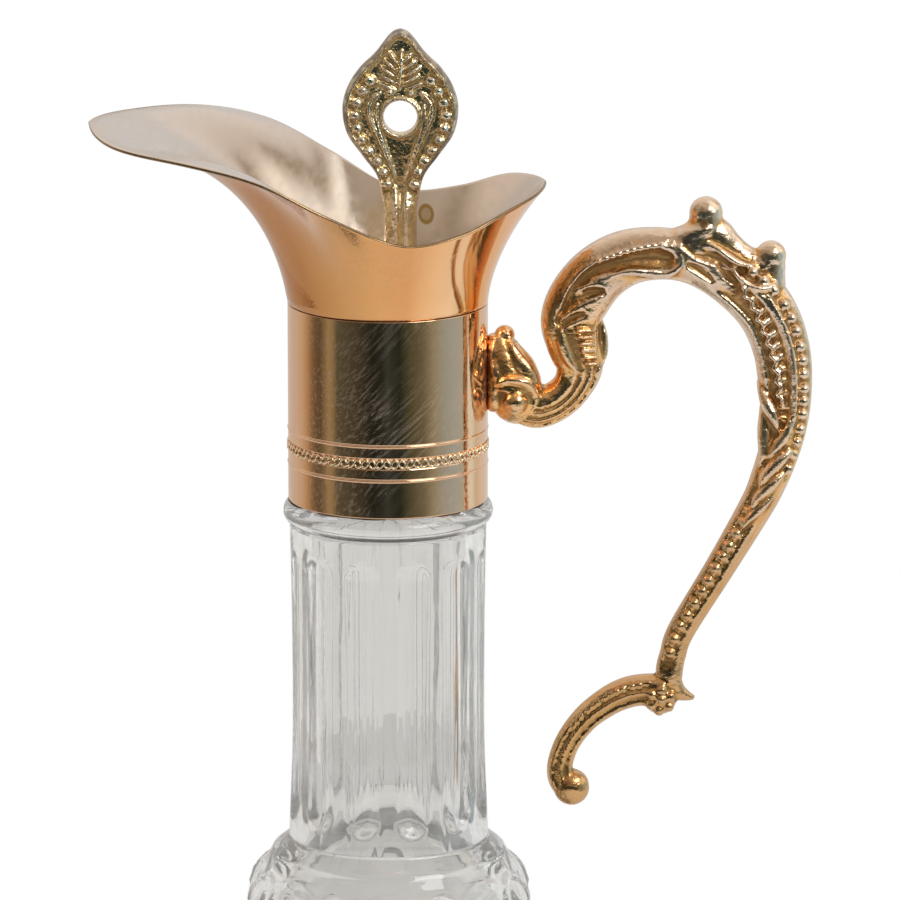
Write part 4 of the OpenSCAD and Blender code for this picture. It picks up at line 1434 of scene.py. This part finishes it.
    def build(self) -> None:
        """Makes the finial in place of its plain solid."""
        shape = Shape()
        self.plate(shape)
        self.stem(shape)
        for stroke in self.ornament():
            stroke.lay(shape, self.depth, Vector((self.offset, 0, self.eye_z)))
        row = smooth(((7.2, 8.9), (9.2, 6.2), (10.5, 3), (10.8, -0.6), (9.9, -4.2), (8, -7.5), (6, -10.2),
                      (4.2, -13), (3.2, -16.2)), 6)
        for side in SIDES:
            for x, z in evenly(row, 3.05):
                centre = (self.offset + side * x, self.depth(x, z) + 0.15, self.eye_z + z)
                shape.pair(centre, 1.5, detail=3)
            shape.pair((self.offset + side * 2.6, 2, self.eye_z + 5.9), 0.9)
        piece = shape.finish("finial_casting")
        cast_in_one(piece, self.grain)
        mark_hollows(piece.data, 12, 0.26)
        self.mark_rim(piece.data)
        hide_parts("finial")
        dress(piece, Body.STOPPER, Slot.AGED, Finishes.FINIAL)


# ---- what the solids already show ----


@dataclass
class KeptSolid:
    """A piece whose plain solid is right."""

    node: str
    finish: Finishes = Finishes.STEEL

    def dress(self) -> None:
        """Gives the solid its finish."""
        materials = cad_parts[self.node].data.materials
        materials.clear()
        materials.append(self.finish.value.material())
        LOG.info("%s: kept, in %s", self.node, self.finish.name.lower())


KEPT = (KeptSolid("neck_cement", Finishes.PLASTER), KeptSolid("throat_seal", Finishes.SEAL),
        KeptSolid("stopper_cap", Finishes.CAP), KeptSolid("stopper_cork", Finishes.CORK),
        KeptSolid("backing_plate"), KeptSolid("handle_screws"), KeptSolid("stopper_stud"),
        KeptSolid("stopper_washer"), KeptSolid("stopper_nut"))


# ---- the table, the light and the camera ----


@dataclass
class Studio:
    """A pale table in a white room, with soft light and a dim side behind the camera.

    The four rooms hold angles round the jug and the colour that it mirrors, or lets through, there.
    """

    distance: float = 1.8
    elevation: float = 13.0
    lens: float = 299.5
    aim: Point = (0.0149, 0.0, 0.2175)
    table_r: float = 0.55
    table_gap: float = 0.0002
    lamp_at: Point = (0.7, -0.72, 0.9)
    lamp_size: Point = (0.6, 0.5)
    lamp_power: float = 5.0
    lit: Point = (0, 0, 0.25)
    sensor: float = 36.0
    wall_top: Point = (0.22, 0.42)
    ceiling: Point = (0.62, 0.82)
    mirrored: Points = (
        (-180, 0.66, 0.62, 0.58), (-128, 0.64, 0.6, 0.56), (-116, 0.61, 0.52, 0.41),
        (-107, 0.5, 0.38, 0.24), (-99, 0.28, 0.21, 0.12), (-92, 0.15, 0.12, 0.07),
        (-84, 0.12, 0.1, 0.056), (-78, 0.22, 0.2, 0.12), (-72, 0.34, 0.31, 0.19), (-66, 0.28, 0.25, 0.15),
        (-60, 0.1, 0.11, 0.08), (-33, 0.05, 0.052, 0.035), (-17, 0.016, 0.022, 0.018),
        (-7, 0.02, 0.028, 0.026), (0, 0.04, 0.058, 0.062), (7, 0.026, 0.036, 0.036),
        (14, 0.018, 0.03, 0.026), (28, 0.085, 0.1, 0.055), (42, 0.15, 0.17, 0.13), (54, 0.3, 0.34, 0.27),
        (68, 0.36, 0.48, 0.55), (84, 0.4, 0.56, 0.7), (98, 0.46, 0.58, 0.6), (106, 0.78, 0.95, 1),
        (114, 0.79, 0.98, 1.05), (122, 0.67, 0.67, 0.55), (134, 0.74, 0.74, 0.72), (180, 0.72, 0.72, 0.72))
    above: Points = (
        (-180, 0.9, 0.88, 0.86), (-140, 0.84, 0.76, 0.7), (-120, 0.82, 0.74, 0.64),
        (-98, 0.44, 0.37, 0.29), (-85, 0.38, 0.32, 0.24), (-70, 0.52, 0.44, 0.35),
        (-55, 0.44, 0.36, 0.27), (-42, 0.26, 0.2, 0.13), (-15, 0.34, 0.28, 0.21), (10, 0.5, 0.44, 0.35),
        (25, 0.62, 0.57, 0.49), (58, 0.6, 0.54, 0.46), (74, 0.85, 0.8, 0.73), (83, 1.3, 1.26, 1.18),
        (106, 1.35, 1.3, 1.22), (116, 0.86, 0.79, 0.71), (124, 0.5, 0.43, 0.34), (133, 0.44, 0.37, 0.29),
        (142, 0.8, 0.74, 0.68), (160, 0.9, 0.86, 0.82), (180, 0.9, 0.88, 0.86))
    overhead: Points = (
        (-180, 0.85, 0.8, 0.75), (-60, 0.6, 0.54, 0.47), (20, 0.5, 0.44, 0.36), (54, 0.46, 0.4, 0.32),
        (68, 0.6, 0.55, 0.47), (80, 1.25, 1.26, 1.2), (100, 1.38, 1.4, 1.36), (116, 0.82, 0.76, 0.7),
        (180, 0.85, 0.8, 0.75))
    through: Points = (
        (-180, 1), (-120, 0.97), (-95, 0.8), (-60, 0.55), (-20, 0.4), (20, 0.4), (60, 0.55), (95, 0.8),
        (120, 0.97), (180, 1))

    def world(self) -> None:
        """Makes the room: white where the camera looks, and dim on the camera's side."""
        world = bpy.data.worlds.new("room")
        bpy.context.scene.world = world
        wiring = Wiring(world)
        z = wiring.place("Generated")[2]
        high = z.rise(*self.wall_top)
        mirrored, above, overhead, through = (
            wiring.around(light_zones, "Generated")
            for light_zones in (self.mirrored, self.above, self.overhead, self.through))
        mirrored = high.mix(mirrored, z.rise(*self.ceiling).mix(above, overhead))
        seen = (0.8, 0.8, 0.8)
        for ray, room in (("Glossy", mirrored), ("Transmission", high.mix(through, (0.75, 0.75, 0.75))),
                          ("Camera", (1, 1, 1))):
            seen = wiring.value("LightPath", output=f"Is {ray} Ray").mix(seen, room)
        sky = wiring.value("Background", {"Color": seen, "Strength": 1.0})
        wiring.add("OutputWorld", {"Surface": sky})

    def table(self) -> None:
        """Makes the round pale table top: matt near the jug, and white at its edge."""
        bm = bmesh.new()
        bmesh.ops.create_circle(bm, cap_ends=True, radius=self.table_r, segments=128,
                                matrix=Matrix.Translation((0, 0, -self.table_gap)))
        mesh = bpy.data.meshes.new("table_top")
        bm.to_mesh(mesh)
        bm.free()
        material = bpy.data.materials.new("pale_table")
        wiring = Wiring(material)
        spot = wiring.value("TexCoord", output="Object")
        away = wiring.value("VectorMath", {0: spot}, "Value", operation="LENGTH")
        bright = wiring.value("LightPath", output="Is Camera Ray") * away.rise(0.2, 0.34)
        tone = wiring.noise(9, 3).rise(0.3, 0.7, 0.8, 0.83)
        matt = wiring.value("BsdfPrincipled", {"Base Color": tone, "Roughness": 0.7})
        white = wiring.value("Emission", {"Color": (1, 1, 1), "Strength": 1.0})
        mixed = wiring.value("MixShader", {0: bright, 1: matt, 2: white})
        wiring.add("OutputMaterial", {"Surface": mixed})
        mesh.materials.append(material)
        table = in_scene("table_top", mesh)

    @staticmethod
    def stand(made: Object, place: Vector, target: Vector) -> None:
        """Stands a lamp or a camera at a place and turns it to a target."""
        made.location = place
        made.rotation_euler = (target - place).to_track_quat("-Z", "Y").to_euler()

    def build(self) -> None:
        """Sets up the room, a soft box that points at the collar, and the camera."""
        scene = bpy.context.scene
        scene.view_settings.view_transform = "Standard"
        self.world()
        self.table()
        lamp = bpy.data.lights.new("key", "AREA")
        lamp.shape = "RECTANGLE"
        lamp.size, lamp.size_y = self.lamp_size
        lamp.energy = self.lamp_power
        self.stand(in_scene("key", lamp), Vector(self.lamp_at), Vector(self.lit))
        camera = bpy.data.cameras.new("camera")
        camera.lens, camera.sensor_width, camera.clip_end = self.lens, self.sensor, 20.0
        scene.camera = in_scene("camera", camera)
        tip, aim = radians(self.elevation), Vector(self.aim)
        away = Vector((0, -cos(tip), sin(tip))) * self.distance
        self.stand(scene.camera, aim + away, aim)


def main() -> None:
    """Builds the jug piece by piece, and the studio round it."""
    logging.basicConfig(level=logging.INFO, format="%(name)s: %(message)s")
    for part in (Bottle(), Collar(), Spout(), Handle(), Finial(), Studio()):
        part.build()
        LOG.info("%s is built", type(part).__name__)
    for solid in KEPT:
        solid.dress()


if __name__ == "__main__":
    main()
